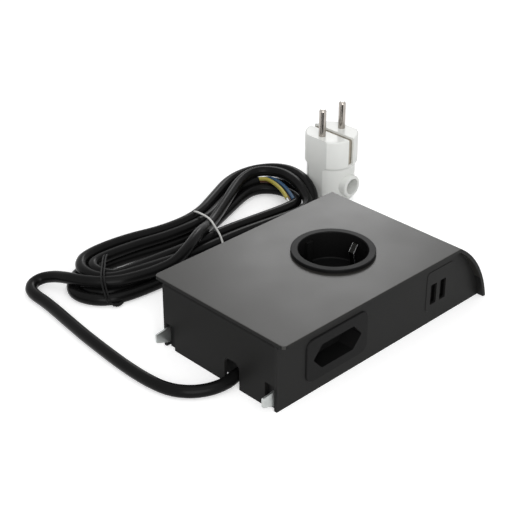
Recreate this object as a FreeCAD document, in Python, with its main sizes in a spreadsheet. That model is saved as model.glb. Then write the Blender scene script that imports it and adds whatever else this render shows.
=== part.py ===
import FreeCAD, Part
import math
import os

import Sketcher

# An in-desk power module: a black sheet-metal box under a top plate that curls down into a lip,
# with a round mains socket, a flat two-pin socket and two charging ports. Its cord lies behind it,
# tied in a hank with a bare end, and the plug that goes on that end stands loose beside it.
# Frame: origin on the table under the round socket's axis, +X along the plate to the lip,
# +Y to the back, +Z up. Lengths are in millimetres.

os.makedirs("parts", exist_ok=True)
doc = FreeCAD.newDocument("power_module")
Vector = FreeCAD.Vector

SIZES = [
    # top plate and lip
    ("plate_top", "42.5", "height of the plate's upper face"),
    ("sheet", "2", "thickness of the plate and the side sheets"),
    ("plate_left", "88.9", "reach of the plate to the left of the socket"),
    ("front_overhang", "4.5", "plate beyond the front panel"),
    ("rear_overhang", "7", "plate beyond the rear panel"),
    ("plate_corner", "3", "radius of the plate's left corners"),
    ("plate_edge", "0.4", "rounding of the plate's upper edge"),
    ("lip_radius", "64.5", "outer radius of the curled lip"),
    ("lip_centre_x", "18.7", "axis of the lip's curl"),
    ("lip_share", "0.8341", "height of the plate over the curl's axis, per radius"),
    # box under the plate
    ("body_half", "44.25", "from the socket's axis to a side panel's outer face"),
    ("flange_share", "0.74", "fold under the plate, per space from the panel to the ring nut"),
    ("end_flange", "12", "the end panel's fold under the plate"),
    ("end_flange_half", "21", "half length of the end panel's fold"),
    ("end_stud_y", "16.9", "studs of the end panel from its middle"),
    ("flange_end", "48", "where the side flanges end, towards the lip"),
    ("bend", "1.6", "outside radius of a fold"),
    ("tab_width", "9", "reach of a screw tab from its side panel"),
    ("tab_length", "13", "length of a screw tab"),
    ("tab_left", "-66", "left end of the left screw tabs"),
    ("tab_inset", "12", "right screw tabs from the base cover's right edge"),
    ("base_sheet", "1.2", "thickness of the base cover"),
    ("base_left", "-82", "left face of the base cover's upturned end"),
    ("base_clear", "3", "clearance of the base cover's right edge inside the lip"),
    ("base_rise", "34", "height of the upturned end"),
    ("base_corner", "2", "upper corners of the upturned end"),
    ("base_gap", "0.3", "clearance of the base cover between the panels"),
    ("bay_gap", "3.5", "clearance of the upturned end from the panels"),
    # end panel, with its cord arch and hook slots
    ("cord_y", "-10.5", "middle of the cord's way out"),
    ("arch_width", "11.4", "width of the cord arch"),
    ("arch_top", "16", "height of the cord arch"),
    ("arch_round", "4", "upper corners of the cord arch"),
    ("slot_width", "6.8", "width of a hook slot"),
    ("slot_top", "15.2", "height of a hook slot"),
    # sprung hooks
    ("hook_blade", "1.2", "thickness of a hook"),
    ("hook_reach", "8", "how far a hook stands out of the end panel"),
    ("hook_root", "-68", "inner end of a hook"),
    ("hook_low", "2.8", "foot of a hook at the end panel"),
    ("hook_high", "12.3", "head of a hook at the end panel"),
    ("hook_ramp", "3.2", "rise of the foot at the hook's tip"),
    ("hook_fall", "0.8", "fall of the head at the hook's tip"),
    ("hook_tip_round", "0.8", "rounding of a hook's tip"),
    ("hook_bend", "1", "rounding of a hook's foot, which lies as far inside the panel's face"),
    ("guide_depth", "2.4", "thickness of the guide that backs a hook slot"),
    ("guide_lap", "1", "guide beyond its slot"),
    # studs, nuts and screws
    ("stud_radius", "1.5", "weld studs and small screws"),
    ("stud_length", "6", "length of a weld stud"),
    ("stud_inset", "6.5", "stud from the end of its fold"),
    ("stud_left", "-58", "left studs of the side panels"),
    ("stud_lap", "12", "fold of a side panel left of its left stud"),
    ("nut_radius", "2.75", "half the width across a nut's flats"),
    ("nut_height", "2.4", "height of a nut"),
    ("screw_head", "2.8", "radius of a screw head"),
    ("screw_length", "5", "length of a base cover screw"),
    ("fit", "0.1", "clearance of a stud, screw or insert in its hole"),
    # round mains socket
    ("ring_radius", "24.2", "outer radius of the socket's ring"),
    ("ring_rise", "2", "height of the ring over the plate"),
    ("recess_radius", "20", "inner radius of the recess"),
    ("recess_depth", "17.5", "depth of the recess from the ring's top"),
    ("cup_wall", "1.8", "wall of the socket cup"),
    ("cup_floor", "2.5", "thickness of the recess floor"),
    ("cup_round", "1", "rounding of the cup's foot and of the recess floor"),
    ("ring_edge", "0.5", "rounding of the ring's upper edges"),
    ("pin_pitch", "19", "distance between two pins"),
    ("pin_radius", "2.4", "radius of a plug pin"),
    ("pin_hole", "2.7", "radius of a pin hole in a recess floor"),
    ("contact_wall", "0.9", "wall of a contact sleeve"),
    ("contact_depth", "13.3", "depth of the bore in a round socket's contact"),
    ("contact_foot", "1.6", "closed foot of a contact sleeve"),
    ("contact_bevel", "0.5", "bevel at the mouth of a round socket's contact"),
    ("block_half", "8", "half width of the socket's contact block"),
    ("block_wall", "2.4", "wall round a contact chamber"),
    ("block_corner", "2", "corners of the contact block and its cap"),
    ("cap_thick", "1.5", "rear cap of a socket insert"),
    ("cap_slot", "2", "half width of a wire slot in the round socket's cap"),
    ("key_width", "4.6", "guide rib in the recess"),
    ("key_reach", "2.4", "how far a guide rib stands in"),
    ("key_height", "14.5", "height of a guide rib"),
    ("nut_ring_reach", "4.2", "radial width of the ring nut"),
    ("nut_ring_height", "4", "height of the ring nut"),
    ("nut_notch", "1.6", "radius of a notch in the ring nut's rim"),
    ("nut_notch_out", "0.4", "middle of a notch outside the rim"),
    ("clip_thick", "0.8", "thickness of the earth strip"),
    ("clip_width", "3.6", "width of an earth clip"),
    ("clip_waist", "15.2", "nearest an earth clip comes to the axis"),
    ("clip_waist_height", "35.5", "height of the clip's nearest point"),
    ("clip_top", "40.5", "top of an earth clip"),
    ("clip_bow", "2.6", "clip at the floor outside its waist"),
    ("clip_flare", "0.4", "clearance of a clip's top from the recess wall"),
    ("clip_tail", "8", "length of the strip's tail for its wire"),
    ("clip_tail_half", "2", "half width of that tail"),
    ("clip_heel", "0.6", "outer rounding where the strip turns up"),
    ("clip_heel_inside", "0.3", "inner rounding where the strip turns up"),
    ("clip_crest", "1.6", "rounding of a clip's nearest point on its far side"),
    ("clip_crest_inside", "1.2", "rounding of a clip's nearest point"),
    # flat two-pin socket in the front panel
    ("euro_x", "-44", "middle of the two-pin insert"),
    ("euro_z", "20.4", "middle height of the two-pin insert"),
    ("euro_width", "48", "width of its bezel"),
    ("euro_height", "26.8", "height of its bezel"),
    ("euro_corner", "5.5", "corner radius of its bezel"),
    ("euro_rise", "0.8", "how far its bezel stands out of the panel"),
    ("bezel_lap", "1.8", "bezel beyond the window"),
    ("euro_edge", "0.5", "bevel round its bezel"),
    ("hex_width", "37.7", "width of the six-sided recess"),
    ("hex_height", "14.8", "height of the six-sided recess"),
    ("hex_flat", "24.5", "length of its upper and lower sides"),
    ("hex_point", "1.2", "rounding of its two pointed corners"),
    ("hex_corner", "1.5", "rounding of its other corners"),
    ("hex_depth", "11", "depth of the recess"),
    ("euro_floor", "1.5", "floor of the recess"),
    ("euro_body_depth", "28", "depth of the insert behind the panel's outer face"),
    # charging ports in the front panel
    ("usb_clear", "7.25", "clearance of the charging insert inside the lip"),
    ("usb_z", "21", "middle height of the charging insert"),
    ("usb_width", "24.2", "width of its bezel"),
    ("usb_height", "26", "height of its bezel"),
    ("usb_corner", "3", "corner radius of its bezel"),
    ("usb_rise", "0.3", "how far its bezel stands out of the panel"),
    ("usb_edge", "0.2", "bevel round its bezel"),
    ("usb_body_depth", "14", "depth of the insert behind the panel's outer face"),
    ("port_pitch", "8.3", "distance between the ports"),
    ("port_shift", "-1.6", "middle of the ports from the insert's middle"),
    ("port_z", "18.6", "middle height of the ports"),
    ("port_width", "4.6", "opening of a port, across its tongue"),
    ("port_height", "12.4", "opening of a port, along its tongue"),
    ("port_corner", "0.4", "corner radius of a port's opening"),
    ("port_shell", "0.3", "sheet of a port's shell"),
    ("port_setback", "1.2", "shell behind the bezel's face"),
    ("tongue_width", "1.8", "thickness of a port's tongue"),
    ("tongue_height", "11", "length of a port's tongue"),
    ("tongue_setback", "1.5", "tongue behind the shell's edge"),
    # charger board
    ("board_thick", "1.6", "thickness of the board"),
    ("board_width", "32", "width of the board"),
    ("board_head", "4.5", "clearance of the board under the plate"),
    ("board_clear", "1.1", "clearance of the board's upper corner inside the lip"),
    ("board_low", "5", "lower edge of the board"),
    ("coil_box", "14", "side of the transformer"),
    ("coil_box_depth", "12", "depth of the transformer"),
    ("coil_box_low", "2", "transformer over the board's lower edge"),
    ("can_radius", "5", "radius of the capacitor"),
    ("can_length", "14", "length of the capacitor"),
    ("can_clear", "3", "capacitor from the transformer and the board's upper edge"),
    # terminal block, clamp and grommet
    ("pole_pitch", "8", "distance between two poles"),
    ("pole_clear", "3.35", "clearance of the terminal block behind the two-pin insert"),
    ("terminal_left", "-46", "left face of the terminal block"),
    ("terminal_length", "18", "length of the terminal block along the wires"),
    ("terminal_height", "12", "height of the terminal block"),
    ("terminal_wall", "1", "moulding outside the outer poles"),
    ("sleeve_radius", "3.4", "outer radius of a terminal sleeve"),
    ("sleeve_bore", "3", "bore of a terminal sleeve"),
    ("terminal_hole", "2.5", "radius of the hole over a terminal screw"),
    ("terminal_sink", "0.6", "terminal screw under the block's top"),
    ("terminal_share", "0.28", "terminal screw from a face of the block, per length"),
    ("wire_height", "6.5", "height of the terminal bores"),
    ("wire_radius", "1.3", "insulated core"),
    ("thin_wire", "0.8", "insulated wire to the charger board"),
    ("wire_offset", "1.5", "two wires side by side in one pole"),
    ("cord_radius", "3.6", "radius of the cord"),
    ("exit_height", "5", "height of the cord's axis at the grommet"),
    ("sheath_end", "-61", "where the cord's sheath ends inside"),
    ("clamp_left", "-73.6", "left face of the cord clamp"),
    ("clamp_length", "6.8", "length of the cord clamp"),
    ("clamp_half", "10.5", "half width of the cord clamp"),
    ("clamp_height", "10", "height of the cord clamp"),
    ("clamp_corner", "1", "corners of the cord clamp"),
    ("clamp_head", "1.8", "height of a clamp screw's head"),
    ("clamp_screw_y", "7.4", "clamp screw from the cord's axis"),
    ("cord_clearance", "0.15", "cord in its clamp and grommet"),
    ("grommet_flange", "1.3", "thickness of a grommet flange"),
    ("grommet_lap", "1.7", "grommet flange beyond its slot"),
    ("grommet_wall", "1.2", "grommet between the cord and its slot"),
    ("grommet_low", "0.3", "foot of the grommet's outer flange"),
    ("lug_x", "-20", "earth lug"),
    ("lug_inset", "9.25", "earth lug from the rear panel's inner face"),
    ("lug_radius", "3.6", "ring of the earth lug"),
    ("lug_sheet", "0.8", "thickness of the earth lug"),
    ("lug_barrel", "2.6", "length of the lug's barrel"),
    ("core_spread", "1.9", "core from the middle of the three inside the sheath"),
    ("wire_inside", "4", "length of a wire inside its terminal"),
    ("wire_straight", "2.5", "straight run of a wire at its end"),
    ("wire_reach", "4.5", "wires from the terminals before they turn to the two-pin contacts"),
    ("wire_turn", "7", "wires from the terminals before they turn along the floor"),
    ("wire_low", "3.3", "height of those wires over the base cover"),
    ("wire_rise", "5", "step up of a wire on its way to a contact"),
    ("wire_lead", "10", "wire along the floor before it rises to a contact"),
    ("wire_sweep", "9.6", "wires to the board from its back"),
    # hank of cord behind the box, with its ties
    ("hank_low", "1.2", "underside of the hank"),
    ("hank_top", "17", "top of the hank"),
    ("hank_left_x", "-68", "middle of the left bends"),
    ("hank_left_y", "117", "middle of the left bends"),
    ("hank_left_radius", "28", "outside of the left bends"),
    ("waist_x", "2", "where the ties draw the hank in"),
    ("waist_y", "108", "where the ties draw the hank in"),
    ("waist_radius", "22", "half width of the waist"),
    ("loop_x", "64", "middle of the open loop"),
    ("loop_y", "117", "middle of the open loop"),
    ("loop_radius", "35", "outside of the open loop"),
    ("eye_x", "68", "middle of the loop's opening"),
    ("eye_y", "120.5", "middle of the loop's opening"),
    ("eye_radius", "18.5", "wide end of the opening"),
    ("eye_tip_x", "16", "narrow end of the opening"),
    ("eye_tip_y", "116", "narrow end of the opening"),
    ("eye_tip_radius", "3.5", "narrow end of the opening"),
    ("tie_thick", "1.1", "thickness of a wire tie"),
    ("tie_width", "1.4", "width of a wire tie"),
    ("twist_tie_inset", "8", "place of the twist tie left of the left bends' middle"),
    ("end_width", "12", "notch in the hank for the lead's end"),
    ("end_length", "24", "notch in the hank for the lead's end"),
    ("notch_width", "13", "notch in the hank for the sheath's end"),
    ("notch_length", "11", "notch in the hank for the sheath's end"),
    ("wire_tie_x", "5", "place of the wire tie along the hank"),
    ("twist_tie_angle", "48", "direction of the twist tie across the left bends"),
    ("core_radius", "1.35", "insulated core at the bare end"),
    ("core_step", "1.7", "core from the middle of the three"),
    ("ferrule_length", "6", "bare length of a ferrule"),
    ("ferrule_radius", "0.9", "radius of a ferrule"),
    # loose plug
    ("plug_x", "115", "axis of the plug"),
    ("plug_y", "107.5", "axis of the plug"),
    ("plug_height", "45.5", "face of the plug over the table"),
    ("plug_radius", "17.8", "radius of the pin carrier"),
    ("plug_split", "24", "joint between carrier and grip"),
    ("grip_radius", "16.3", "radius of the grip"),
    ("plug_shoulder", "2.2", "height of the slope under the carrier"),
    ("plug_shoulder_round", "0.8", "rounding over the slope"),
    ("plug_edge", "1", "rounding of the plug's rims"),
    ("pin_length", "19", "length of a pin beyond the face"),
    ("pin_root", "8", "length of a pin inside the carrier"),
    ("pin_round", "1.6", "rounding of a pin's tip"),
    ("plug_flat", "15.1", "flat side of the plug from its axis"),
    ("strap_width", "4.2", "width of the earth strap"),
    ("strap_thick", "0.9", "thickness of the earth strap"),
    ("strap_bend", "1.2", "outer rounding of the strap's two bends"),
    ("strap_sink", "2.4", "depth of the strap's channel"),
    ("strap_foot", "27", "height where the strap ends"),
    ("nozzle_radius", "7.6", "outer radius of the cord inlet"),
    ("nozzle_bore", "5.4", "bore of the cord inlet"),
    ("nozzle_reach", "20", "mouth of the inlet from the plug's axis"),
    ("nozzle_height", "11.6", "height of the inlet's axis"),
    ("nozzle_depth", "14", "depth of the inlet's bore"),
]

sheet_object = doc.addObject("Spreadsheet::Sheet", "Sizes")
for row, (alias, value, meaning) in enumerate(SIZES, start=1):
    sheet_object.set(f"A{row}", value)
    sheet_object.set(f"B{row}", meaning)
    sheet_object.setAlias(f"A{row}", alias)
doc.recompute()


class Size:
    """A length as a number and as the expression that gives it from the sheet."""

    def __init__(self, value, text):
        self.value = value
        self.text = text

    def __add__(self, other):
        other = as_size(other)
        return Size(self.value + other.value, f"({self.text} + {other.text})")

    def __sub__(self, other):
        other = as_size(other)
        return Size(self.value - other.value, f"({self.text} - {other.text})")

    def __rsub__(self, other):
        return as_size(other) - self

    def __mul__(self, other):
        other = as_size(other)
        return Size(self.value * other.value, f"({self.text} * {other.text})")

    def __truediv__(self, other):
        other = as_size(other)
        return Size(self.value / other.value, f"({self.text} / {other.text})")

    def __neg__(self):
        return Size(-self.value, f"(0 - {self.text})")

    def root(self):
        return Size(math.sqrt(self.value), f"sqrt({self.text})")

    __radd__ = __add__
    __rmul__ = __mul__


def as_size(number):
    return number if isinstance(number, Size) else Size(float(number), repr(float(number)))


class Sizes:
    """The sheet's sizes by name."""


s = Sizes()
for alias, value, meaning in SIZES:
    setattr(s, alias, Size(float(value), f"Sizes.{alias}"))

nodes = []


def keep(piece, name):
    """Names a finished sub-part and lists it for export."""
    piece.Label = name
    nodes.append(piece)
    return piece


def bind(piece, name, size):
    piece.setExpression(name, as_size(size).text)


# Bodies: sketches on a body's own planes, padded or cut between two places along the normal.

PLANES = {"XY": "XY_Plane", "XZ": "XZ_Plane", "YZ": "YZ_Plane"}


class Arc:
    """The side that reaches this corner is an arc of the given radius about a centre."""

    def __init__(self, centre, radius):
        self.centre = centre
        self.radius = radius


def outline(corners):
    """A closed outline through corners (x, y), (x, y, rounding) or (x, y, Arc)."""

    def draw(sketch):
        first = sketch.GeometryCount
        count = len(corners)
        places = [tuple(as_size(value) for value in corner[:2]) for corner in corners]
        ends = []
        for index, corner in enumerate(corners):
            (x0, y0), (x1, y1) = places[index - 1], places[index]
            start, end = Vector(x0.value, y0.value, 0), Vector(x1.value, y1.value, 0)
            extra = corner[2] if len(corner) > 2 else None
            if isinstance(extra, Arc):
                centre = Vector(as_size(extra.centre[0]).value, as_size(extra.centre[1]).value, 0)
                ring = Part.Circle(centre, Vector(0, 0, 1), as_size(extra.radius).value)
                angles = [math.atan2(place.y - centre.y, place.x - centre.x) for place in (start, end)]
                sweep = (angles[1] - angles[0] + math.pi) % (2 * math.pi) - math.pi
                low, high = sorted((angles[0], angles[0] + sweep))
                sketch.addGeometry(Part.ArcOfCircle(ring, low, high), False)
                ends.append(2 if sweep > 0 else 1)
            else:
                sketch.addGeometry(Part.LineSegment(start, end), False)
                ends.append(2)
        for index in range(count):
            after = (index + 1) % count
            sketch.addConstraint(Sketcher.Constraint(
                "Coincident", first + index, ends[index], first + after, 3 - ends[after]))
        for index, corner in enumerate(corners):
            for kind, size in zip(("DistanceX", "DistanceY"), places[index]):
                number = sketch.addConstraint(Sketcher.Constraint(
                    kind, -1, 1, first + index, ends[index], size.value))
                bind(sketch, f"Constraints[{number}]", size)
            if len(corner) > 2 and isinstance(corner[2], Arc):
                radius = as_size(corner[2].radius)
                number = sketch.addConstraint(
                    Sketcher.Constraint("Radius", first + index, radius.value))
                bind(sketch, f"Constraints[{number}]", radius)
        for index, corner in enumerate(corners):
            if len(corner) > 2 and not isinstance(corner[2], Arc):
                rounding = as_size(corner[2])
                arc = sketch.GeometryCount
                sketch.fillet(first + index, ends[index], rounding.value, True, True)
                number = sketch.addConstraint(Sketcher.Constraint("Radius", arc, rounding.value))
                bind(sketch, f"Constraints[{number}]", rounding)

    return draw


def rectangle(x0, x1, y0, y1, rounding=None):
    corners = [(x0, y0), (x1, y0), (x1, y1), (x0, y1)]
    if rounding is not None:
        corners = [(x, y, rounding) for x, y in corners]
    return outline(corners)


def circle(x, y, radius):
    def draw(sketch):
        x_size, y_size, radius_size = as_size(x), as_size(y), as_size(radius)
        centre = Vector(x_size.value, y_size.value, 0)
        shape = Part.Circle(centre, Vector(0, 0, 1), radius_size.value)
        ring = sketch.addGeometry(shape, False)
        wanted = [
            (Sketcher.Constraint("Radius", ring, radius_size.value), radius_size),
            (Sketcher.Constraint("DistanceX", -1, 1, ring, 3, x_size.value), x_size),
            (Sketcher.Constraint("DistanceY", -1, 1, ring, 3, y_size.value), y_size),
        ]
        for constraint, size in wanted:
            number = sketch.addConstraint(constraint)
            bind(sketch, f"Constraints[{number}]", size)

    return draw


class Piece:
    """A body made of pads, cuts and turned forms; low and high are places on the plane's axis."""

    def __init__(self, name):
        self.body = keep(doc.addObject("PartDesign::Body", name), name)
        self.volume = 0.0

    def sketch(self, plane, place, drawings):
        sketch = self.body.newObject("Sketcher::SketchObject", f"{self.body.Name}_sketch")
        role = PLANES[plane]
        origin = [item for item in self.body.Origin.OriginFeatures if item.Role == role][0]
        sketch.AttachmentSupport = (origin, "")
        sketch.MapMode = "FlatFace"
        place = -as_size(place) if plane == "XZ" else as_size(place)
        bind(sketch, "AttachmentOffset.Base.z", place)
        for draw in drawings:
            draw(sketch)
        return sketch

    def grown(self, sign):
        """Recomputes and makes sure that the last feature added or removed material."""
        doc.recompute()
        volume = self.body.Shape.Volume
        if sign * (volume - self.volume) <= 0:
            raise RuntimeError(f"a feature of {self.body.Name} changes nothing: {volume}")
        self.volume = volume

    def pad(self, plane, low, high, *drawings):
        low, high = as_size(low), as_size(high)
        place = high if plane == "XZ" else low
        sketch = self.sketch(plane, place, drawings)
        pad = self.body.newObject("PartDesign::Pad", f"{self.body.Name}_pad")
        pad.Profile = sketch
        bind(pad, "Length", high - low)
        self.grown(1)
        return self

    def cut(self, plane, low, high, *drawings):
        low, high = as_size(low), as_size(high)
        place = low if plane == "XZ" else high
        sketch = self.sketch(plane, place, drawings)
        pocket = self.body.newObject("PartDesign::Pocket", f"{self.body.Name}_pocket")
        pocket.Profile = sketch
        bind(pocket, "Length", high - low)
        self.grown(-1)
        return self

    def turned(self, *drawings):
        """Turns an outline drawn on the XZ plane about the body's own Z axis."""
        sketch = self.sketch("XZ", 0, drawings)
        feature = self.body.newObject("PartDesign::Revolution", f"{self.body.Name}_turned")
        feature.Profile = sketch
        feature.ReferenceAxis = (sketch, ["V_Axis"])
        feature.Angle = 360.0
        self.grown(1)
        return self

    def dress(self, kind, size, chosen):
        """Rounds or bevels the edges for which chosen(edge) is true."""
        shape = self.body.Shape
        edges = [f"Edge{n}" for n, edge in enumerate(shape.Edges, start=1) if chosen(edge)]
        if not edges:
            raise RuntimeError(f"no edge of {self.body.Name} to dress")
        base = self.body.Tip
        feature = self.body.newObject(f"PartDesign::{kind}", f"{self.body.Name}_{kind.lower()}")
        feature.Base = (base, edges)
        bind(feature, "Radius" if kind == "Fillet" else "Size", size)
        self.grown(-1)
        return self

    def place(self, x=0, y=0, z=0):
        for axis, size in zip("xyz", (x, y, z)):
            bind(self.body, f"Placement.Base.{axis}", size)
        return self


def spans(edge, axis, low, high=None):
    """True for an edge whose whole length lies between two places on an axis."""
    box = edge.BoundBox
    high = low if high is None else high
    ends = (getattr(box, f"{axis}Min"), getattr(box, f"{axis}Max"))
    return ends[0] > low - 0.01 and ends[1] < high + 0.01


# Primitives and booleans, for pins, screws and plain blocks.

TURNS = {"X": (Vector(0, 1, 0), 90), "Y": (Vector(1, 0, 0), -90), "Z": (Vector(0, 0, 1), 0)}


def rod(name, radius, start, length, axis="Z"):
    """A cylinder from start towards the positive end of an axis."""
    piece = doc.addObject("Part::Cylinder", name)
    bind(piece, "Radius", radius)
    bind(piece, "Height", length)
    piece.Placement.Rotation = FreeCAD.Rotation(*TURNS[axis])
    for letter, size in zip("xyz", start):
        bind(piece, f"Placement.Base.{letter}", size)
    return piece


def block(name, x, y, z):
    """A box between two places on each axis."""
    piece = doc.addObject("Part::Box", name)
    for side, letter, (low, high) in zip(("Length", "Width", "Height"), "xyz", (x, y, z)):
        bind(piece, side, as_size(high) - low)
        bind(piece, f"Placement.Base.{letter}", low)
    return piece


def hexagon(name, half_width, start, height):
    """A six-sided prism standing on start, such as a nut."""
    piece = doc.addObject("Part::Prism", name)
    piece.Polygon = 6
    bind(piece, "Circumradius", as_size(half_width) / math.cos(math.pi / 6))
    bind(piece, "Height", height)
    for letter, size in zip("xyz", start):
        bind(piece, f"Placement.Base.{letter}", size)
    return piece


def joined(name, *pieces):
    piece = doc.addObject("Part::MultiFuse", name)
    piece.Shapes = list(pieces)
    return piece


def less(name, base, *tools):
    piece = doc.addObject("Part::Cut", name)
    piece.Base = base
    piece.Tool = tools[0] if len(tools) == 1 else joined(f"{name}_tools", *tools)
    return piece


def group(name, *pieces):
    """Separate like solids kept as one node."""
    piece = doc.addObject("Part::Compound", name)
    piece.Links = list(pieces)
    return keep(piece, name)


def solid(name, shape):
    """A sub-part whose shape is worked out from the sheet's sizes."""
    piece = doc.addObject("Part::Feature", name)
    piece.Shape = shape
    return keep(piece, name)


# Cords and wires: straight runs joined by tangent arcs.

ARC_SHARE = 0.45


def points(*places):
    return [Vector(*(as_size(value).value for value in place)) for place in places]


def smooth_path(corners):
    """A wire of straight runs with an arc at each corner, and the arcs' smallest radius."""
    edges = []
    start = corners[0]
    tightest = math.inf
    for before, corner, after in zip(corners, corners[1:], corners[2:]):
        inward, outward = corner - before, after - corner
        reach = ARC_SHARE * min(inward.Length, outward.Length)
        half_turn = inward.getAngle(outward) / 2
        radius = reach / math.tan(half_turn)
        inward.normalize()
        outward.normalize()
        entry, leave = corner - inward * reach, corner + outward * reach
        middle = corner + (outward - inward).normalize() * radius * (1 / math.cos(half_turn) - 1)
        edges.append(Part.LineSegment(start, entry).toShape())
        edges.append(Part.Arc(entry, middle, leave).toShape())
        start = leave
        tightest = min(tightest, radius)
    edges.append(Part.LineSegment(start, corners[-1]).toShape())
    return Part.Wire(edges), tightest


def tube(radius, corners, name):
    """A round cord along the corners; its volume must be its section times its length."""
    radius = as_size(radius).value
    if len(corners) == 2:
        run = corners[1] - corners[0]
        return Part.makeCylinder(radius, run.Length, corners[0], run)
    path, tightest = smooth_path(corners)
    section = Part.Wire([Part.makeCircle(radius, corners[0], corners[1] - corners[0])])
    shape = path.makePipeShell([section], True, False)
    expected = math.pi * radius**2 * path.Length
    if abs(shape.Volume / expected - 1) > 0.01:
        raise RuntimeError(f"{name} has a volume of {shape.Volume}, not {expected}")
    print(f"{name}: length {path.Length:.1f}, smallest bend {tightest:.1f}")
    return shape


def wires(name, *routes):
    """Several wires, (radius, corners) each, kept as one node."""
    shapes = [tube(radius, corners, name) for radius, corners in routes]
    return solid(name, shapes[0] if len(shapes) == 1 else Part.makeCompound(shapes))


# Derived places that several pieces share.

plate_under = s.plate_top - s.sheet
lip_inner = s.lip_radius - s.sheet
lip_z = s.plate_top - s.lip_radius * s.lip_share
plate_front = -(s.body_half + s.front_overhang)
plate_back = s.body_half + s.rear_overhang
panel_inner = s.body_half - s.sheet
wall_left = -s.plate_left
wall_inner = wall_left + s.sheet
flange_low = plate_under - s.sheet
ring_top = s.plate_top + s.ring_rise
cup_radius = s.recess_radius + s.cup_wall
recess_floor = ring_top - s.recess_depth
cup_under = recess_floor - s.cup_floor
pin_y = s.pin_pitch / 2
contact_bore = s.pin_radius + s.fit / 2
contact_outer = contact_bore + s.contact_wall


def reach_of_lip(radius, height):
    """How far right an arc of the lip stands at a height."""
    rise = height - lip_z
    return s.lip_centre_x + (radius * radius - rise * rise).root()


base_right = reach_of_lip(lip_inner, s.base_sheet) - s.base_clear
usb_x = reach_of_lip(lip_inner, s.usb_z + s.usb_height / 2) - s.usb_clear - s.usb_width / 2
end_studs = [(wall_inner + s.stud_inset, side * s.end_stud_y) for side in (-1, 1)]
nut_outer = cup_radius + s.nut_ring_reach
flange_width = (panel_inner - nut_outer) * s.flange_share
tab_starts = [s.tab_left, base_right - s.tab_inset - s.tab_length]


def side_studs(side):
    """Studs over a side panel's fold."""
    y = side * (panel_inner - flange_width / 2)
    return [(s.stud_left, y), (s.flange_end - s.stud_inset, y)]


def tab_screws(side):
    """Base cover screws in a side panel's tabs."""
    y = side * (panel_inner - s.tab_width / 2)
    return [(start + s.tab_length / 2, y) for start in tab_starts]


stud_places = end_studs + side_studs(-1) + side_studs(1)
base_screw_places = tab_screws(-1) + tab_screws(1)


# Top plate and the box under it.


def make_cover_plate():
    curl = (s.lip_centre_x, lip_z)
    profile = outline([
        (wall_left, plate_under),
        (wall_left, s.plate_top),
        (reach_of_lip(s.lip_radius, s.plate_top), s.plate_top),
        (reach_of_lip(s.lip_radius, 0), 0, Arc(curl, s.lip_radius)),
        (reach_of_lip(lip_inner, 0), 0),
        (reach_of_lip(lip_inner, plate_under), plate_under, Arc(curl, lip_inner)),
    ])
    plate = Piece("cover_plate")
    plate.pad("XZ", plate_front, plate_back, profile)
    plate.dress("Fillet", s.plate_corner, lambda edge: (
        spans(edge, "X", wall_left.value)
        and edge.BoundBox.ZLength > 0.5 * s.sheet.value
        and edge.BoundBox.YLength < 0.01))
    top = s.plate_top.value
    plate.dress("Fillet", s.plate_edge, lambda edge: (
        spans(edge, "Z", top)
        and (spans(edge, "X", wall_left.value, reach_of_lip(s.lip_radius, s.plate_top).value))
        and not (edge.BoundBox.XLength < 0.01 and edge.BoundBox.XMin > 0)))
    plate.cut("XY", plate_under, s.plate_top, circle(0, 0, cup_radius + s.fit))


def make_side_panel(name, side):
    """A side panel with its fold under the plate and two screw tabs; side is -1 at the front."""
    curl = (s.lip_centre_x, lip_z)

    def across(inner, outer):
        return (side * outer, side * inner) if side < 0 else (inner, outer)

    panel = Piece(name)
    panel.pad("XZ", *across(panel_inner, s.body_half), outline([
        (wall_left, 0),
        (wall_left, plate_under),
        (reach_of_lip(lip_inner, plate_under), plate_under),
        (reach_of_lip(lip_inner, 0), 0, Arc(curl, lip_inner)),
    ]))
    flange_y = across(panel_inner - flange_width, panel_inner)
    panel.pad("XY", flange_low, plate_under,
              rectangle(s.stud_left - s.stud_lap, s.flange_end, *flange_y))
    tab_y = across(panel_inner - s.tab_width, panel_inner)
    for start in tab_starts:
        panel.pad("XY", s.base_sheet, s.base_sheet + s.sheet,
                  rectangle(start, start + s.tab_length, *tab_y))
    outer = side * s.body_half.value
    panel.dress("Fillet", s.bend, lambda edge: (
        spans(edge, "Y", outer) and spans(edge, "Z", plate_under.value)))
    hole = s.stud_radius + s.fit
    panel.cut("XY", flange_low, plate_under, *[circle(x, y, hole) for x, y in side_studs(side)])
    panel.cut("XY", s.base_sheet, s.base_sheet + s.sheet, *[
        circle(x, y, hole) for x, y in tab_screws(side)])
    if side < 0:
        panel.cut("XZ", -s.body_half, -panel_inner, window(
            s.euro_x, s.euro_z, s.euro_width, s.euro_height, s.euro_corner, s.fit))
        panel.cut("XZ", -s.body_half, -panel_inner, window(
            usb_x, s.usb_z, s.usb_width, s.usb_height, s.usb_corner, s.fit))


def window(x, z, width, height, corner, play):
    """The outline that a bezel covers: its body, or the hole for it with some play."""
    half_width = width / 2 - s.bezel_lap + play
    half_height = height / 2 - s.bezel_lap + play
    return rectangle(x - half_width, x + half_width, z - half_height, z + half_height,
                     corner - s.bezel_lap + play)


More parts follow.
